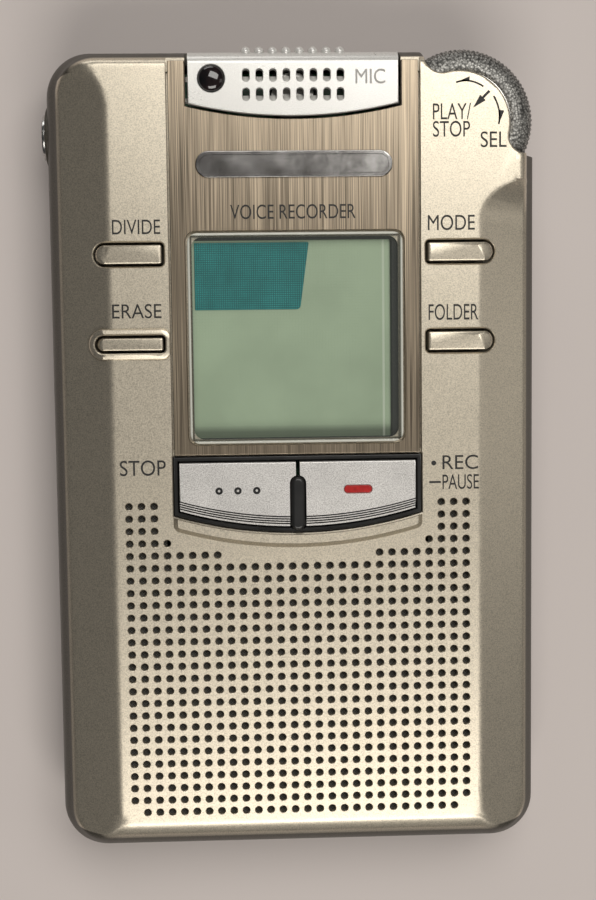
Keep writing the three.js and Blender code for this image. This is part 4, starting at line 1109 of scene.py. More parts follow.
def front_shell(shell, grille):
    """The front shell: the casing's front half, hollowed, with the lip below the keys, the guard
    round the erase button, and every opening."""
    front = casing_front(SEAM_HIGH, 0, 0, shell.edge)
    hollow = casing_front(SEAM_HIGH - 1, WALL, SKIN, 0.3, 6, 2)
    cut(hollow, ear_cutter(-1, FAR, WALL))
    lip_top = KEYS_LOW - LIP_WIDTH
    lip = rounded([(KEYS_HALF, KEYS_LOW + 3, 0), (-KEYS_HALF, KEYS_LOW + 3, 0),
                   *[(x, lip_top + KEYS_R - sqrt(KEYS_R**2 - x * x), 0.9 if abs(x) == KEYS_HALF else 0)
                     for x in np.linspace(-KEYS_HALF, KEYS_HALF, 41)]], 8)
    proud = FACE + LIP_PROUD
    rise = [(0, FACE - 0.5), (0, FACE + 0.04), (LIP_SLOPE * 0.75, proud - 0.12), (LIP_SLOPE, proud)]
    lip_body = prism(lip, rise)
    erase = BUTTONS[1]
    guard_line = button_outline(erase[1], erase[2], -GUARD_WIDTH, GUARD_TIGHTER)
    rise = [(0, CEILING - 1), (0, above(GUARD_PROUD - 0.3)), (0.1, above(GUARD_PROUD - 0.08)),
            (0.3, above(GUARD_PROUD))]
    guard = prism(guard_line, rise, above(GUARD_PROUD))
    join(front, lip_body, guard, cut(jack_pad(), block(-FAR, FAR, -FAR, FAR, -1, SEAM_HIGH)))
    pocket = rod(DIAL[0], DIAL[1], DIAL_LOW[2] - 0.3, DIAL_TOP + 0.3, DIAL_R + DIAL_GAP, 96)
    cut(front, hollow, ear_cutter(0, FAR, 0, shell.ear_chamfer), pocket, socket_cutter())
    floor = PANEL_LOW[2] - 0.1
    side = PANEL_HIGH[0]
    recess = prism(rectangle(-side - FIT, side + FIT, KEYS_TOP - 0.5, FAR, 0.3),
                   [(0, floor), (0, FACE - 0.08), (-0.1, FACE + 0.04), (-0.1, FACE + 2)])
    gaps = [block(x - 0.25, x + 0.25, KEYS_TOP + 0.6, END - 3.2, CEILING + 0.25, floor + 0.1)
            for x in (-side, side)]
    seat = prism(window_outline(FIT), [(0, WINDOW_LOW[2] - 0.1), (0, FACE + 1)])
    view = prism(window_outline(-0.45), [(0, CEILING - 1), (0, FACE + 1)])
    cap_room = prism(cap_outline(CAP_GAP), [(0, CAP_LOW[2] - FIT), (0, FACE + 3)])
    keys_room = face_opening(keys_outline(), CEILING - 1, 0.1)
    cut(front, recess, *gaps, seat, view, cap_room, keys_room)
    for name, side, y, tighter in BUTTONS:
        lift = GUARD_PROUD if name == "erase_button" else 0.0
        cut(front, face_opening(button_outline(side, y, 0, tighter), BUTTON_BASE, 0.13, lift))
    cloth_room = prism(cloth_outline(0.4), [(0, CEILING - 1), (0, FACE - GRILLE_SKIN)])
    return cut(front, cloth_room, grille_holes(grille))


def cloth_outline(grow=0.0):
    """The dust cloth behind the grille: a rectangle with a step round the keys."""
    x, low, high = CLOTH_HALF, -END + 5.3, GRILLE_TOP + 1.0
    neck, shoulder = KEYS_HALF + 0.85, KEYS_LOW - 1.9
    corners = [(-x, low, 1), (x, low, 1), (x, high, 0.5), (neck, high, 0.3), (neck, shoulder, 0.3),
               (-neck, shoulder, 0.3), (-neck, high, 0.3), (-x, high, 0.5)]
    loop = rounded(corners, 5)
    return offset(loop, -grow) if grow else loop


def rear_shell():
    """The rear shell: hollowed, with the battery bay and the screw sockets standing in it, and
    cut for the sliding door, the screws and the earphone socket."""
    rear = casing_back(0, SEAM_LOW, 0)
    hollow = cut(casing_back(SKIN, SEAM_LOW + 1, WALL), ear_cutter(-1, FAR, WALL))
    cut(rear, hollow, ear_cutter(-1, FAR))
    wide, bay_high = BAY_HALF + BAY_WALL, DOOR_HIGH[1]
    walls = block(-wide, wide, BAY_LOW - BAY_WALL, bay_high + BAY_WALL, SKIN - 0.1, SEAM_LOW)
    roof = block(-wide, wide, BAY_LOW - 0.6, bay_high + BAY_WALL, SEAM_LOW - 0.1, BAY_TOP)
    join(rear, walls, roof)
    for x, y in SCREWS:
        join(rear, common(rod(x, y, SKIN - 0.2, SEAM_LOW, 3.0), casing_back(0.05, SEAM_LOW, 0.3)))
    lower_pad = cut(jack_pad(), block(-FAR, FAR, -FAR, FAR, SEAM_LOW, FAR))
    join(rear, lower_pad)
    cut(rear, block(-BAY_HALF, BAY_HALF, BAY_LOW, bay_high, -1, BAY_TOP - 0.6), socket_cutter())
    half = DOOR_HALF + FIT
    cut(rear, block(-half, half, -FAR, bay_high + FIT, -1, DOOR_HIGH[2] + FIT),
        block(-half - DOOR_FLANGE, half + DOOR_FLANGE, -FAR, bay_high + FIT, 0.5, DOOR_HIGH[2] + FIT))
    for x, y in SCREWS:
        head = lathe(x, y, [(0, -1), (2.45, -1), (2.45, 0), (2.2, 0.25), (2.2, 2.3), (0, 2.3)])
        cut(rear, head, rod(x, y, -1, FAR, 1.1, 24))
    return rear


def battery_cover():
    """The sliding door: a plate with two flanges, trimmed to the casing's form, with thumb
    grooves and a sunken arrow that points the way it slides."""
    low, top, high = DOOR_LOW[2], DOOR_HIGH[2], DOOR_HIGH[1]
    plate = prism(rectangle(-DOOR_HALF, DOOR_HALF, -FAR, high), [(0.12, low), (0, low + 0.12), (0, top)])
    flange = DOOR_HIGH[0]
    join(plate, block(-flange, flange, -FAR, high, low + 0.6, top))
    common(plate, casing_back(low, top + 0.4, 0))
    for k in range(GRIP_COUNT):
        y = GRIP_START + GRIP_PITCH * k
        groove = rectangle(-GRIP_HALF, GRIP_HALF, y, y + GRIP_WIDTH, 0.34)
        cut(plate, prism(groove, [(-0.12, -1), (-0.12, low - 0.04), (0, low + 0.1), (0.12, low + 0.25)]))
    arrow = rounded([(0, -END + 21.2, 0.2), (1.9, -END + 24.4, 0.2), (-1.9, -END + 24.4, 0.2)], 4)
    return cut(plate, prism(arrow, [(-0.1, -1), (-0.1, low - 0.03), (0.05, low + 0.18)]))


# --- panel and display

def chamfered(loop, low, high, edge, steps=3):
    """A plate whose upper edge is a quarter round of the given size."""
    a = np.linspace(0, pi / 2, steps + 1)
    levels = [(0, low)] + [(edge * (1 - cos(t)), high - edge * (1 - sin(t))) for t in a]
    return prism(loop, levels)


def display_plate():
    """The brushed panel, cut for the window and the microphone cap."""
    low, high = PANEL_LOW[2], PANEL_HIGH[2]
    loop = rectangle(PANEL_LOW[0], PANEL_HIGH[0], PANEL_LOW[1], PANEL_HIGH[1], 0.15)
    plate = chamfered(loop, low, high, 0.08)
    edge = [(0, low - 1), (0, high - 0.08), (-0.12, high + 0.04), (-0.12, high + 1)]
    return cut(plate, prism(window_outline(FIT), edge), prism(cap_outline(CAP_GAP), edge))


def name_plate():
    """A blank badge: a round-ended bar with a raised rim round a shallow field."""
    low, high = span("name_badge")
    r = (high[1] - low[1]) / 2
    loop = rectangle(low[0], high[0], low[1], high[1], r - 0.02, 16)
    bar = chamfered(loop, low[2], high[2], 0.1)
    field = prism(offset(loop, 0.42), [(0.06, high[2] - 0.08), (0, high[2] + 0.01), (0, high[2] + 1)])
    return cut(bar, field)


def window_pane():
    """The clear window, a plate with a wide quarter-round edge."""
    low, high = WINDOW_LOW[2], WINDOW_HIGH[2]
    return chamfered(window_outline(), low, high, 0.4, 6)


def display_mask():
    """The black frame over the display, its opening off centre and wider on the right."""
    low, high = span("lcd_frame")
    loop = rectangle(low[0], high[0], low[1], high[1], 0.6)
    mask = prism(loop, [(0, low[2]), (0, high[2])])
    room = prism(rectangle(LCD_LOW[0] - FIT, LCD_HIGH[0] + FIT, LCD_LOW[1] - FIT, LCD_HIGH[1] + FIT),
                 [(0, low[2] - 1), (0, high[2] - 0.4)])
    x0, x1 = WINDOW_LOW[0] + 0.45, WINDOW_HIGH[0] - 1.35
    y0, y1 = WINDOW_LOW[1] + 0.55, WINDOW_HIGH[1] - 0.85
    edge = [(0, low[2]), (0, high[2] - 0.15), (-0.25, high[2] + 0.05)]
    mouth = prism(rectangle(x0, x1, y0, y1, 0.25), edge)
    return cut(mask, room, mouth)


def tint_film():
    """The display's coloured film: a rectangle whose right side leans."""
    (x0, y0, z0), (x1, y1, z1) = span("lcd_tint_film")
    corners = [(x0, y0, 0.1), (x1 - 1.1, y0, 0.5), (x1, y1, 0.1), (x0, y1, 0.1)]
    return prism(rounded(corners, 5), [(0, z0), (0, z1)])


# --- microphone end

def cap_section():
    """The cap from the side: a flat roof that falls to the end wall along a quarter ellipse, as
    (y, height) points."""
    top, end = CAP_HIGH[2], CAP_END
    fall, drop = 1.5, 1.9
    a = np.linspace(0, pi / 2, 13)
    shoulder = np.column_stack((end - fall + fall * np.sin(a), top - drop + drop * np.cos(a)))
    wall, roof = end - CAP_WALL, top - CAP_ROOF
    under = [(end, CAP_LOW[2]), (wall, CAP_LOW[2]), (wall, top - drop), (wall - CAP_WALL, roof),
             (CAP_BOW - 1, roof)]
    return np.concatenate(([[CAP_BOW - 1, top]], shoulder, under))


def extruded_x(section, x0, x1):
    """A closed body from a (y, z) section, clockwise seen from +X, carried along X."""
    rings = [np.column_stack((np.full(len(section), x), section[::-1])) for x in (x0, x1)]
    return stack(rings)


def microphone_cap():
    """The cap: its side section cut to the bowed outline, with slots whose lower walls slope and
    round ribs down the end wall."""
    cap = extruded_x(cap_section(), -CAP_HALF - 1, CAP_HALF + 1)
    top = CAP_HIGH[2]
    loop = rounded([(CAP_HALF, END + 5, 0), (-CAP_HALF, END + 5, 0),
                    *[(x, y, 0) for x, y in cap_outline()[1:-1]]], 1)
    common(cap, chamfered(loop, CAP_LOW[2] - 1, top, 0.14))
    ribs = []
    for x in SLOT_X:
        rib = [(0, 13.0), (0.6, 13.0)]
        rib += [(0.6 * cos(t), top - 1.5 + 0.75 * sin(t)) for t in np.linspace(0, pi / 2, 7)[:-1]]
        ribs.append(lathe(x, CAP_END, rib + [(0, top - 0.75)], 20))
    join(cap, together(*ribs))
    slots = []
    for x in SLOT_X:
        for y in SLOT_Y:
            across, along = SLOT_W / 2, SLOT_H / 2
            loop = rectangle(x - across, x + across, y - along, y + along, across - 0.02, 6)
            floor = loop.copy()
            floor[:, 1] = np.maximum(floor[:, 1], y - 0.05 + (floor[:, 1] - y) * 0.02)
            mouth = offset(loop, -0.08)
            slots.append(stack([lifted(floor, top - 1.4), lifted(floor, top - 0.75), lifted(loop, top - 0.05),
                                lifted(mouth, top + 0.03), lifted(mouth, top + 1)]))
    hole = [(0, 0), (1.6, 0), (1.6, top - 0.08), (1.75, top + 0.07), (1.75, top + 3), (0, top + 3)]
    return cut(cap, together(*slots), lathe(LAMP[0], LAMP[1], hole))


def lamp_dome():
    """The lamp's lens: a post with a low dome, an ellipse of the post's radius and 0.6 high."""
    low, high = span("rec_lamp_lens")
    radius, dome = (high[0] - low[0]) / 2, 0.6
    a = np.linspace(0, pi / 2, 12)
    curve = [(radius * cos(t), high[2] - dome + dome * sin(t)) for t in a[:-1]]
    return lathe(LAMP[0], LAMP[1], [(0, low[2]), (radius, low[2]), *curve, (0, high[2])], 64)


# --- keys

def keys_frame():
    """The black frame round the keys, with the round-topped divider between them."""
    low, high = BEZEL_LOW[2], FACE - 0.15
    mouth = prism(keys_outline(0.6), [(0, 0), (0, high - 0.1), (-0.12, high + 0.02), (-0.12, FAR)])
    ring = cut(chamfered(keys_outline(0.1), low, high, 0.12), mouth)
    loop = rectangle(-DIVIDER_HALF, DIVIDER_HALF, KEYS_LOW + 0.3, DIVIDER_TOP, DIVIDER_HALF - 0.05, 12)
    bar = chamfered(loop, low, BEZEL_HIGH[2], 0.5, 8)
    return join(ring, common(bar, prism(keys_outline(0.1), [(0, 0), (0, FAR)])))


def bow_band(near, far):
    """The strip between two of the keys' bows, given by how far each lies above the lowest."""
    x = np.linspace(-KEYS_HALF, KEYS_HALF, 61)
    curve = KEYS_R - np.sqrt(KEYS_R**2 - x * x)
    lower = np.column_stack((x, KEYS_LOW + near + curve))
    upper = np.column_stack((x, KEYS_LOW + far + curve))
    return np.concatenate((lower, upper[::-1]))


def transport_key(side, keys):
    """One key: a flat top, then a front edge of thin ribs that follow the bow and step down, with
    a groove behind each rib."""
    floor, top = KEY_LOW[2] + 0.25, KEY_HIGH[2]
    key = chamfered(keys_outline(KEY_GAP), KEY_BASE, top, 0.14)
    for k in range(keys.ribs):
        inner = KEY_GAP + keys.pitch * (keys.ribs - k) + 0.1
        step = top - keys.drop * (k + 1)
        cut(key, prism(bow_band(-3, inner), [(0, step), (0, FAR)]),
            prism(bow_band(inner - KEY_GROOVE, inner + 0.004), [(0, step - 0.45), (0, FAR)]))
    left, right = (-KEY_SPLIT, FAR) if side < 0 else (-FAR, KEY_SPLIT)
    other = block(left, right, -FAR, FAR, 0, FAR)
    clear = DIVIDER_HALF + 0.12
    notch = prism(rectangle(-clear, clear, -FAR, DIVIDER_TOP + 0.15, clear - 0.05, 10), [(0, 0), (0, FAR)])
    cut(key, other, notch)
    join(key, rod(side * MARK[0], MARK[1], KEY_LOW[2], floor + 0.5, 1.0))
    if side < 0:
        for k in (-1, 0, 1):
            ring = [(0.15, top - 0.2), (0.44, top - 0.2), (0.48, top + 1), (0.11, top + 1)]
            cut(key, lathe(-MARK[0] + k * DOT_PITCH, MARK[1], ring, 32))
        return key
    edge = [(0, top - 0.4), (0, top - 0.06), (-0.07, top + 0.02), (-0.07, FAR)]
    return cut(key, prism(mark_outline(), edge))


def mark_outline(shrink=0.0):
    """The recess for the record mark: a bar with round ends."""
    low, high = span("rec_mark")
    half = (high[1] - low[1]) / 2 + 0.05 - shrink
    x0, x1 = low[0] - 0.05 + shrink, high[0] + 0.05 - shrink
    return rectangle(x0, x1, MARK[1] - half, MARK[1] + half, half - 0.02, 10)


def record_mark():
    """The red bar that fills its recess."""
    low, high = span("rec_mark")
    return chamfered(mark_outline(0.05), low[2], high[2], 0.08)


def stop_dot_shade():
    """Three black rings in the stop key's grooves: painted shade of its dimples."""
    top = KEY_HIGH[2]
    ring = [(0.15, top - 0.2), (0.44, top - 0.2), (0.44, top - 0.05), (0.15, top - 0.05)]
    return together(*[lathe(-MARK[0] + k * DOT_PITCH, MARK[1], ring, 32) for k in (-1, 0, 1)])


def side_button(node, side, y, tighter):
    """A side button whose top follows the face and the shoulder, on its flange and stem."""
    proud = BUTTON_PROUD
    edge = [(0, BUTTON_BASE), (0, above(proud - 0.22)), (0.06, above(proud - 0.07)), (0.2, above(proud))]
    cap = prism(lambda inset: button_outline(side, y, BUTTON_GAP + inset, tighter), edge, above(proud))
    rim = button_outline(side, y, BUTTON_GAP - 0.5, tighter)
    flange = prism(rim, [(0, BUTTON_BASE), (0, BUTTON_BASE + 0.4)])
    stem = rod(side * (BUTTON_IN + BUTTON_OUT) / 2, y, span(node)[0][2], BUTTON_BASE + 0.1, 0.9)
    return join(cap, flange, stem)


# --- jog dial

def knurled_dial(dial):
    """The dial: a profile turned about its axle. On the rim the radius rises and falls with the
    angle, r = r0 - depth * (1 - |cos(teeth * a / 2)|), and the teeth lean with the height."""
    low, top, r = DIAL_LOW[2], DIAL_TOP, DIAL_R + DIAL_PROUD
    profile = np.array([
        (1.35, low), (r - 0.5, low), (r - 0.12, low + 0.15), (r, low + 0.5), (r, low + 1.4), (r, low + 2.4),
        (r, low + 3.4), (r, top - 1.3), (r - 0.14, top - 0.9), (r - 0.5, top - 0.5), (r - 1.05, top - 0.2),
        (r - 1.7, top - 0.05), (r - 2.2, top), (r - 2.6, top), (r - 2.75, top - 0.12), (4.4, top - 0.12),
        (4.2, top - 0.02), (1.5, top - 0.02), (1.35, top - 0.1)])
    sides = dial.teeth * 6
    a = 2 * pi * np.arange(sides) / sides
    grip = np.clip((profile[:, 0] - (r - 1.9)) / 0.5, 0, 1) * np.clip((profile[:, 1] - low) / 0.4, 0, 1)
    lean = dial.lean * (profile[:, 1] - low)
    wave = 1 - np.abs(np.cos(dial.teeth / 2 * (a[None] + np.radians(lean)[:, None])))
    radius = profile[:, :1] - dial.depth * grip[:, None] * wave
    height = np.repeat(profile[:, 1:], sides, 1)
    grid = np.stack((DIAL[0] + radius * np.cos(a), DIAL[1] + radius * np.sin(a), height), axis=2)
    return body(grid.reshape(-1, 3), quads(sides, len(profile), True))


def dial_ring():
    """The dial's trim ring: a flat ring with soft edges."""
    low, high = span("jog_trim_ring")
    outer = (high[0] - low[0]) / 2
    z0, z1 = low[2] - 0.1, high[2]
    inner = outer - 0.8
    profile = [(inner, z0), (outer, z0), (outer, z1 - 0.1), (outer - 0.06, z1 - 0.02), (outer - 0.16, z1),
               (inner + 0.2, z1), (inner + 0.05, z1 - 0.06), (inner, z1 - 0.15)]
    return lathe(DIAL[0], DIAL[1], profile, 96)


# --- socket and battery bay

def socket_collar():
    """The earphone collar: a tube along X with a rounded lip and a countersunk mouth."""
    x0, x1 = COLLAR_LOW[0], COLLAR_HIGH[0]
    outer, bore = (COLLAR_HIGH[1] - COLLAR_LOW[1]) / 2, 1.8
    profile = [(bore, x1), (bore, x0 + 0.35), (bore + 0.12, x0 + 0.12), (bore + 0.34, x0), (outer - 0.25, x0),
               (outer - 0.07, x0 + 0.07), (outer, x0 + 0.25), (outer, x1)]
    return lathe(JACK[1], JACK[2], profile, 64, "x")


def coil_spring(node, turns, wire, sides=10):
    """A conical coil: the wire's middle follows radius * (cos a, sin a) in the plane across the
    bay while it climbs along Y, and the radius shrinks evenly from the seat to the tip."""
    low, high = span(node)
    middle = midpoint(node)
    climb = 1 if node.endswith("left") else -1
    t = np.linspace(0, 1, int(turns * 28))
    a = 2 * pi * turns * t
    radius = 3.1 - 1.4 * t
    length = high[1] - low[1] - 2 * wire
    seat = low[1] + wire if climb > 0 else high[1] - wire
    y = seat + climb * length * np.clip((t - 0.08) / 0.84, 0, 1)
    path = np.column_stack((middle[0] + radius * np.cos(a), y, middle[2] + radius * np.sin(a)))
    ahead = np.gradient(path, axis=0)
    ahead /= np.linalg.norm(ahead, axis=1)[:, None]
    side = np.array((0, 1.0, 0)) - ahead[:, 1:2] * ahead
    side /= np.linalg.norm(side, axis=1)[:, None]
    across = np.cross(ahead, side)
    b = 2 * pi * np.arange(sides) / sides
    round_wire = np.cos(b)[:, None] * side[:, None] + np.sin(b)[:, None] * across[:, None]
    return stack(list(path[:, None] + wire * round_wire))


def dry_cell(node):
    """A cell along Y: a flat minus end, a rolled shoulder at both ends and the plus nub."""
    low, high = span(node)
    radius = (high[0] - low[0]) / 2
    length = high[1] - low[1]
    nub = 0.9
    edge = [(radius - 0.35, 0), (radius - 0.1, 0.1), (radius, 0.35), (radius, length - nub - 0.5),
            (radius - 0.12, length - nub - 0.15), (radius - 0.45, length - nub)]
    tip = [(2.6, length - nub), (2.3, length - nub - 0.12), (1.95, length - nub - 0.12), (1.9, length - 0.15),
           (1.75, length)]
    profile = np.array([(0, 0), *edge, *tip, (0, length)])
    if node.endswith("left"):
        profile[:, 1] += low[1]
    else:
        profile[:, 1] = high[1] - profile[:, 1]
        profile = profile[::-1]
    middle = midpoint(node)
    return lathe(middle[2], middle[0], profile, 64, "y")


def case_screw(node):
    """A pan-headed screw, its head towards the back, with a cross recess that narrows inwards."""
    low, high = span(node)
    x, y, _ = midpoint(node)
    radius = (high[0] - low[0]) / 2
    z = low[2]
    head = [(0, z), (radius * 0.6, z + 0.04), (radius * 0.86, z + 0.18), (radius, z + 0.5), (radius, z + 1.3)]
    profile = [*head, (0.95, z + 1.35), (0.95, high[2] - 0.5), (0.5, high[2]), (0, high[2])]
    screw = lathe(x, y, profile, 48)
    cross = []
    for turn in (0, pi / 2):
        half = rectangle(-1.25, 1.25, -0.22, 0.22, 0.1, 4)
        c, s = cos(turn + 0.4), sin(turn + 0.4)
        loop = half @ np.array(((c, s), (-s, c))) + (x, y)
        narrow = offset(loop, 0.12)
        cross.append(stack([lifted(loop, z - 1), lifted(loop, z), lifted(narrow, z + 0.9)]))
    return cut(screw, *cross)


def grille_cloth():
    """The dust cloth, a thin sheet just under the grille."""
    low = CEILING + 0.05
    return prism(cloth_outline(), [(0, low), (0, low + 0.2)])


# --- printing

# Half the thickness of the ink, and the levels of what is printed on the face.
PRINT_THICK = 0.02
INK_LEVELS = [(0, FACE - PRINT_THICK), (0, FACE + PRINT_THICK)]

# Each legend: its letters, and the box that they fill, as left, right, lower and upper edge.
LEGENDS = (
    ("DIVIDE", -21.5, -15.85, 26.95, 28.65),
    ("ERASE", -21.7, -15.9, 17.1, 18.8),
    ("STOP", -21.2, -15.75, -1.6, 0.25),
    ("MODE", 15.75, 21.35, 27.1, 28.9),
    ("FOLDER", 15.8, 21.75, 16.5, 18.4),
    ("REC", 17.4, 21.7, -1.4, 0.33),
    ("PAUSE", 17.4, 21.8, -3.8, -2.0),
    ("PLAY/", 16.4, 20.9, 40.0, 41.9),
    ("STOP", 16.4, 20.8, 38.0, 39.85),
    ("SEL", 22.05, 25.15, 36.75, 38.6),
)
SMALL_PRINT = ("VOICE RECORDER", -7.6, 7.2, 28.6, 30.3)
CAP_PRINT = ("MIC", 7.3, 10.8, 44.2, 45.9)
BULLET = (16.35, -0.6, 0.3)
DASH = [(15.8, -2.9), (17.2, -2.9)]

# Each curved arrow: its start, a point on the way and its tip, then its single barb.
DIAL_ARROWS = (
    (((22.4, 43.8), (20.75, 44.47), (19.15, 44.3)), (20.75, 45.0)),
    (((23.6, 42.7), (24.22, 41.1), (24.2, 39.45)), (24.85, 41.0)),
)
PUSH_ARROW = ([(23.1, 43.3), (22.3, 42.5)], [(21.15, 41.35), (22.0, 42.85), (22.65, 42.2)])


def lettering(legend, z, weight=0.0):
    """Block letters fitted to their legend's box at a height, as thin closed solids."""
    text, x0, x1, y0, y1 = legend
    curve = bpy.data.curves.new("letters", "FONT")
    curve.body = text
    curve.extrude = 0.5
    curve.offset = weight
    obj = bpy.data.objects.new("letters", curve)
    bpy.context.scene.collection.objects.link(obj)
    graph = bpy.context.evaluated_depsgraph_get()
    mesh = bpy.data.meshes.new_from_object(obj.evaluated_get(graph))
    merged = bmesh.new()
    merged.from_mesh(mesh)
    bmesh.ops.remove_doubles(merged, verts=merged.verts, dist=1e-5)
    bmesh.ops.recalc_face_normals(merged, faces=merged.faces)
    merged.to_mesh(mesh)
    merged.free()
    co = coordinates(mesh)
    low, high = co.min(0), co.max(0)
    box_low, box_high = np.array((x0, y0, z - PRINT_THICK)), np.array((x1, y1, z + PRINT_THICK))
    co = box_low + (co - low) / (high - low) * (box_high - box_low)
    faces = [list(face.vertices) for face in mesh.polygons]
    bpy.data.meshes.remove(mesh)
    bpy.data.curves.remove(curve)
    return body(co, faces)


def ribbon(path, width):
    """A flat printed stroke: the path moved half a width to both sides."""
    path = np.asarray(path, float)
    ahead = np.gradient(path, axis=0)
    ahead /= np.linalg.norm(ahead, axis=1)[:, None]
    left = np.column_stack((-ahead[:, 1], ahead[:, 0])) * width / 2
    loop = np.concatenate((path - left, (path + left)[::-1]))
    return prism(loop, INK_LEVELS)


def face_print(weight):
    """The legends beside the keys and the dial, with the dial's arrows, the bullet and the dash."""
    marks = [lettering(legend, FACE, weight) for legend in LEGENDS]
    marks += [prism(circle(*BULLET, 24), INK_LEVELS), ribbon(DASH, 0.25)]
    for path, barb in DIAL_ARROWS:
        marks.append(ribbon(smooth_path(path), 0.2))
        marks.append(flat_mark([path[-1], barb, path[-2]]))
    shaft, head = PUSH_ARROW
    marks += [ribbon(shaft, 0.3), flat_mark(head)]
    return together(*marks)


def flat_mark(points):
    """A solid printed shape through points in either order."""
    loop = np.array(points, float)
    turn = np.cross(loop[1] - loop[0], loop[2] - loop[1])
    return prism(loop if turn > 0 else loop[::-1], INK_LEVELS)


def smooth_path(points, steps=16):
    """The parabola through three points, met at the start, the middle and the end."""
    start, middle, end = (np.array(point, float) for point in points)
    t = np.linspace(0, 1, steps + 1)[:, None]
    bend = 2 * middle - (start + end) / 2
    return (1 - t) ** 2 * start + 2 * t * (1 - t) * bend + t * t * end


# --- properties and operators

class RecorderShell(bpy.types.PropertyGroup):
    """The two shells."""
    edge: FloatProperty(name="Edge", description="Rounding along the rim, in millimetres",
                        default=0.55, min=0.1)
    ear_chamfer: FloatProperty(name="Ear chamfer", description="Chamfer of the ear's edge, in millimetres",
                               default=0.3, min=0.05)
    colour: FloatVectorProperty(name="Paint", description="Colour of the champagne paint", subtype="COLOR",
                                default=(0.66, 0.595, 0.48))


class RecorderGrille(bpy.types.PropertyGroup):
    """The drilled speaker grille."""
    pitch: FloatProperty(name="Pitch", description="Distance between holes, in millimetres",
                         default=1.5, min=1)
    hole: FloatProperty(name="Hole", description="Diameter of a hole, in millimetres", default=0.86, min=0.2)
    countersink: FloatProperty(name="Countersink", description="Chamfer of a hole, in millimetres",
                               default=0.07)
    sides: IntProperty(name="Sides", description="Sides of one hole", default=14, min=6)


class RecorderDisplay(bpy.types.PropertyGroup):
    """The brushed panel and the display in it."""
    panel: FloatVectorProperty(name="Panel", description="Colour of the brushed panel", subtype="COLOR",
                               default=(0.305, 0.25, 0.184))
    glass: FloatVectorProperty(name="Display", description="Colour of the reflective display",
                               subtype="COLOR", default=(0.36, 0.46, 0.32))
    film: FloatVectorProperty(name="Film", description="Colour of the display film", subtype="COLOR",
                              default=(0.004, 0.19, 0.19))


class RecorderKeys(bpy.types.PropertyGroup):
    """The stop and record keys."""
    ribs: IntProperty(name="Ribs", description="Ribs along the front edge of a key", default=4, min=1)
    pitch: FloatProperty(name="Rib pitch", description="Distance between ribs, in millimetres", default=0.3)
    drop: FloatProperty(name="Rib drop", description="Step down from rib to rib, in millimetres",
                        default=0.17)
    mark: FloatVectorProperty(name="Mark", description="Colour of the record mark", subtype="COLOR",
                              default=(0.5, 0.012, 0.01))


class RecorderDial(bpy.types.PropertyGroup):
    """The jog dial."""
    teeth: IntProperty(name="Teeth", description="Grooves round the dial", default=96, min=12)
    depth: FloatProperty(name="Depth", description="Depth of a groove, in millimetres", default=0.16, min=0)
    lean: FloatProperty(name="Lean", description="Turn of a groove for each millimetre of height, in degrees",
                        default=0.6)
    colour: FloatVectorProperty(name="Colour", description="Colour of the dial", subtype="COLOR",
                                default=(0.27, 0.265, 0.25))


class RecorderBattery(bpy.types.PropertyGroup):
    """The springs and cells."""
    turns: FloatProperty(name="Turns", description="Turns of a battery spring", default=5.5, min=1)
    wire: FloatProperty(name="Wire", description="Half the thickness of the spring wire, in millimetres",
                        default=0.28, min=0.05)
    jacket: FloatVectorProperty(name="Jacket", description="Colour of a cell's sleeve", subtype="COLOR",
                                default=(0.03, 0.06, 0.14))


class RecorderLegends(bpy.types.PropertyGroup):
    """The printed legends."""
    weight: FloatProperty(name="Weight", description="Thickening of the letters, in letter heights",
                          default=0.0)
    ink: FloatVectorProperty(name="Ink", description="Colour of the ink", subtype="COLOR",
                             default=(0.012, 0.011, 0.01))


class RECORDER_OT_shells(bpy.types.Operator):
    """Build the front shell with its grille, and the rear shell"""
    bl_idname = "recorder.shells"
    bl_label = "Shells"

    def execute(self, context):
        shell = context.scene.recorder_shell
        coating = paint(shell.colour)
        front = front_shell(shell, context.scene.recorder_grille)
        piece("front_shell", front, coating, "case_paint", "front_case")
        piece("rear_shell", rear_shell(), coating, "case_paint", "rear_case")
        piece("battery_cover", battery_cover(), coating, "case_paint", "battery_door", rides="battery_cover")
        piece("grille_cloth", grille_cloth(), dust_cloth(), "rubber")
        return {"FINISHED"}


class RECORDER_OT_display(bpy.types.Operator):
    """Build the brushed panel, the badge, the window and the display"""
    bl_idname = "recorder.display"
    bl_label = "Display"

    def execute(self, context):
        display = context.scene.recorder_display
        panel = brushed_bronze(display.panel)
        piece("brushed_panel", display_plate(), panel, "panel_metal", "display_panel")
        smoked = plated("smoked_chrome", (0.2, 0.19, 0.18), (0.42, 0.41, 0.4), 0.12)
        piece("blank_badge", name_plate(), smoked, "chrome", "name_badge")
        piece("window_pane", window_pane(), window_plastic(), "window_clear", "display_window")
        mask = moulded_black("mask_black", 0.006, 0.6)
        piece("display_mask", display_mask(), mask, "black_plastic", "lcd_frame")
        film = tinted_film(display.film)
        piece("tint_film", tint_film(), film, "film_teal", "lcd_tint_film")
        coat(display_glass(display.glass), "lcd_module")
        return {"FINISHED"}


class RECORDER_OT_microphone(bpy.types.Operator):
    """Build the microphone cap, its lamp and the small legend on it"""
    bl_idname = "recorder.microphone"
    bl_label = "Microphone end"

    def execute(self, context):
        silver = silver_paint()
        piece("microphone_cap", microphone_cap(), silver, "silver_plastic", "mic_cap")
        letters = lettering(CAP_PRINT, CAP_HIGH[2] + 0.03)
        raised = print_ink((0.42, 0.41, 0.39), "raised_grey")
        piece("microphone_legend", letters, raised, "silver_plastic")
        piece("lamp_dome", lamp_dome(), smoked_lens(), "gloss_black", "rec_lamp_lens")
        coat(moulded_rubber(), "mic_boot", "lcd_connector")
        return {"FINISHED"}


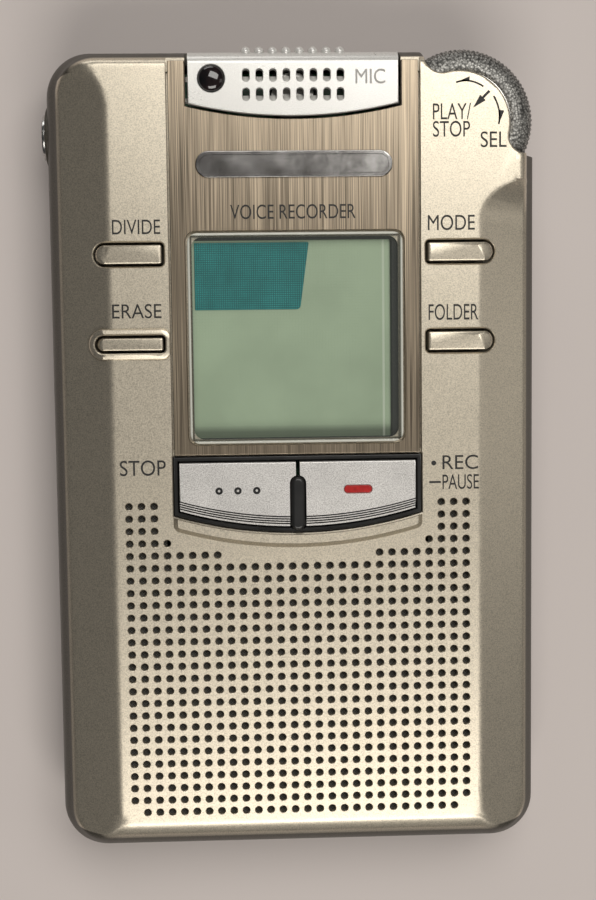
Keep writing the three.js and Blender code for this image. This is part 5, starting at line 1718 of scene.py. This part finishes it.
class RECORDER_OT_keys(bpy.types.Operator):
    """Build the stop and record keys and their frame"""
    bl_idname = "recorder.keys"
    bl_label = "Keys"

    def execute(self, context):
        keys = context.scene.recorder_keys
        black = moulded_black("frame_black", 0.012, 0.22)
        silver = key_silver(keys)
        piece("keys_frame", keys_frame(), black, "black_plastic", "transport_bezel")
        stop, record = transport_key(-1, keys), transport_key(1, keys)
        piece("stop_key", stop, silver, "silver_plastic", "stop_button", rides="stop_key")
        piece("record_key", record, silver, "silver_plastic", "rec_button", rides="record_key")
        # Painted shade: black rings in the stop key's dimples.
        piece("stop_dot_shade", stop_dot_shade(), black, "black_plastic", rides="stop_key")
        red = mark_paint(keys.mark)
        piece("record_mark", record_mark(), red, "red_mark", "rec_mark", rides="record_key")
        return {"FINISHED"}


class RECORDER_OT_buttons(bpy.types.Operator):
    """Build the four side buttons"""
    bl_idname = "recorder.buttons"
    bl_label = "Side buttons"

    def execute(self, context):
        coating = paint(context.scene.recorder_shell.colour, "button_paint")
        for node, side, y, tighter in BUTTONS:
            key = node.replace("button", "key")
            piece(key, side_button(node, side, y, tighter), coating, "case_paint", node, rides=key)
        return {"FINISHED"}


class RECORDER_OT_dial(bpy.types.Operator):
    """Build the knurled jog dial and its trim ring"""
    bl_idname = "recorder.dial"
    bl_label = "Jog dial"

    def execute(self, context):
        dial = context.scene.recorder_dial
        grey, wheel = dial_plastic(dial.colour), knurled_dial(dial)
        piece("knurled_dial", wheel, grey, "dial_plastic", "jog_dial", rides="jog_wheel", sharp=50)
        bright = plated("trim_chrome", (0.4, 0.39, 0.37), (0.62, 0.61, 0.58), 0.16)
        piece("dial_ring", dial_ring(), bright, "chrome", "jog_trim_ring", rides="jog_wheel")
        return {"FINISHED"}


class RECORDER_OT_battery(bpy.types.Operator):
    """Build the cells, the springs, the earphone collar and the case screws"""
    bl_idname = "recorder.battery"
    bl_label = "Battery bay and hardware"

    def execute(self, context):
        battery = context.scene.recorder_battery
        steel = brushed_steel()
        for side in ("left", "right"):
            node = f"battery_cell_{side}"
            low, high = span(node)
            ends = (high[1], low[1]) if side == "left" else (low[1], high[1])
            jacket = cell_jacket(f"cell_jacket_{side}", battery.jacket, *ends)
            piece(f"dry_cell_{side}", dry_cell(node), jacket, "cell_jacket", node)
            spring = f"battery_spring_{side}"
            coil = coil_spring(spring, battery.turns, battery.wire)
            piece(f"coil_spring_{side}", coil, steel, "steel", spring, sharp=60)
            for row in ("lower", "upper"):
                screw = f"case_screw_{row}_{side}"
                piece(f"screw_{row}_{side}", case_screw(screw), steel, "steel", screw)
        bright = plated("collar_plate", (0.4, 0.4, 0.39), (0.68, 0.67, 0.65), 0.18)
        piece("socket_collar", socket_collar(), bright, "steel", "jack_collar")
        return {"FINISHED"}


STEEL_PARTS = (
    "mic_capsule", "stop_switch", "rec_switch", "divide_switch", "erase_switch", "mode_switch",
    "folder_switch", "jog_encoder", "jog_push_pin", "crystal", "speaker_magnet", "contact_link",
    "contact_plus", "contact_minus",
)


class RECORDER_OT_works(bpy.types.Operator):
    """Give the parts inside the casing their finishes"""
    bl_idname = "recorder.works"
    bl_label = "Works"

    def execute(self, context):
        coat(brushed_steel(), *STEEL_PARTS)
        coat(moulded_black(), "jog_carriage", "jog_guide", "jog_switch", "earphone_jack", "speaker_frame")
        coat(moulded_black("chip_black", 0.02, 0.5), "processor_chip", "memory_chip")
        coat(circuit_board(), "main_board", "key_board")
        coat(paper_cone(), "speaker_cone")
        coat(plated("capacitor_can", (0.1, 0.13, 0.2), (0.2, 0.25, 0.36), 0.3), "capacitor")
        coat(smoked_lens(), "rec_lamp_led")
        return {"FINISHED"}


class RECORDER_OT_legends(bpy.types.Operator):
    """Print the legends and the dial's arrows"""
    bl_idname = "recorder.legends"
    bl_label = "Legends"

    def execute(self, context):
        legends = context.scene.recorder_legends
        ink = print_ink(legends.ink)
        piece("face_print", face_print(legends.weight), ink, "black_plastic")
        small = lettering(SMALL_PRINT, PANEL_HIGH[2], legends.weight)
        piece("panel_print", small, ink, "black_plastic")
        return {"FINISHED"}


FLOOR_HALF = 900
FLOOR_COLOUR = (0.66, 0.60, 0.575)
SKY_COLOUR = (0.9, 0.93, 1.0, 1)
SKY_STRENGTH = 0.025
CAMERA_PLACE = (-6.87, 16.42, FACE + 172.58)
CAMERA_AIM = (0.05, 1.22, FACE)
CAMERA_ROLL = -0.68
CAMERA_LENS = 58.0
SENSOR = 36
CLIP = 5

# Each light: its name, place, aim, size, power and colour.
LIGHTS = (
    ("key", (75, 190, 420), (10, 15, 17), (290, 190), 0.9, (1.0, 0.975, 0.93)),
    ("low", (35, -268, 390), (0, -20, 17), (330, 190), 1.05, (1.0, 0.965, 0.91)),
    ("right", (420, 0, 300), (10, 0, 17), (160, 260), 0.1, (1.0, 0.96, 0.9)),
    ("far", (-90, 420, 130), (0, 40, 12), (280, 130), 0.3, (1.0, 0.98, 0.95)),
)


def at(place, turn):
    """The matrix that puts an object at a place in millimetres, turned by a matrix."""
    return Matrix.Translation(Vector(place) * MM) @ turn.to_4x4()


class RECORDER_OT_stage(bpy.types.Operator):
    """Set the floor, the lights and the camera"""
    bl_idname = "recorder.stage"
    bl_label = "Stage"

    def execute(self, context):
        scene = context.scene
        floor = body(lifted(rectangle(-FLOOR_HALF, FLOOR_HALF, -FLOOR_HALF, FLOOR_HALF), 0), [range(4)])
        floor.name = "floor"
        floor.data.transform(Matrix.Scale(MM, 4))
        floor.data.materials.append(Finish("floor", base_color=FLOOR_COLOUR, roughness=0.8).material)
        for name, place, aim, size, power, colour in LIGHTS:
            lamp = bpy.data.lights.new(name, "AREA")
            lamp.shape = "RECTANGLE"
            lamp.size, lamp.size_y = size[0] * MM, size[1] * MM
            lamp.energy = power
            lamp.color = colour
            obj = bpy.data.objects.new(name, lamp)
            scene.collection.objects.link(obj)
            towards = Vector(aim) - Vector(place)
            obj.matrix_world = at(place, towards.to_track_quat("-Z", "Y").to_matrix())
        world = bpy.data.worlds.new("studio")
        world.use_nodes = True
        background = world.node_tree.nodes["Background"]
        background.inputs[0].default_value = SKY_COLOUR
        background.inputs[1].default_value = SKY_STRENGTH
        scene.world = world
        camera = bpy.data.cameras.new("camera")
        camera.lens = CAMERA_LENS
        camera.sensor_width = SENSOR
        camera.clip_start = CLIP * MM
        holder = bpy.data.objects.new("camera", camera)
        scene.collection.objects.link(holder)
        back = (Vector(CAMERA_PLACE) - Vector(CAMERA_AIM)).normalized()
        right = Vector((0, 1, 0)).cross(back).normalized()
        level = Matrix((right, back.cross(right), back)).transposed()
        holder.matrix_world = at(CAMERA_PLACE, level @ Matrix.Rotation(radians(CAMERA_ROLL), 3, "Z"))
        scene.camera = holder
        scene.view_settings.view_transform = "Standard"
        return {"FINISHED"}


class RECORDER_PT_panel(bpy.types.Panel):
    """Lists the recorder's pieces and their sizes"""
    bl_idname = "RECORDER_PT_panel"
    bl_label = "Pocket voice recorder"
    bl_space_type = "VIEW_3D"
    bl_region_type = "UI"
    bl_category = "Recorder"

    def draw(self, context):
        for group in GROUPS:
            box = self.layout.box()
            values = getattr(context.scene, group)
            for name in values.bl_rna.properties.keys():
                if name not in ("rna_type", "name"):
                    box.prop(values, name)
        for operator in OPERATORS:
            self.layout.operator(operator.bl_idname)


GROUPS = {
    "recorder_shell": RecorderShell,
    "recorder_grille": RecorderGrille,
    "recorder_display": RecorderDisplay,
    "recorder_keys": RecorderKeys,
    "recorder_dial": RecorderDial,
    "recorder_battery": RecorderBattery,
    "recorder_legends": RecorderLegends,
}
OPERATORS = (
    RECORDER_OT_shells, RECORDER_OT_display, RECORDER_OT_microphone, RECORDER_OT_keys, RECORDER_OT_buttons,
    RECORDER_OT_dial, RECORDER_OT_battery, RECORDER_OT_works, RECORDER_OT_legends, RECORDER_OT_stage,
)
CLASSES = (*GROUPS.values(), *OPERATORS, RECORDER_PT_panel)


def register():
    for item in CLASSES:
        bpy.utils.register_class(item)
    for name, group in GROUPS.items():
        setattr(bpy.types.Scene, name, PointerProperty(type=group))


def unregister():
    for name in GROUPS:
        delattr(bpy.types.Scene, name)
    for item in reversed(CLASSES):
        bpy.utils.unregister_class(item)


def main():
    register()
    bpy.ops.recorder.shells()
    bpy.ops.recorder.display()
    bpy.ops.recorder.microphone()
    bpy.ops.recorder.keys()
    bpy.ops.recorder.buttons()
    bpy.ops.recorder.dial()
    bpy.ops.recorder.battery()
    bpy.ops.recorder.works()
    bpy.ops.recorder.legends()
    bpy.ops.recorder.stage()


if __name__ == "__main__":
    main()
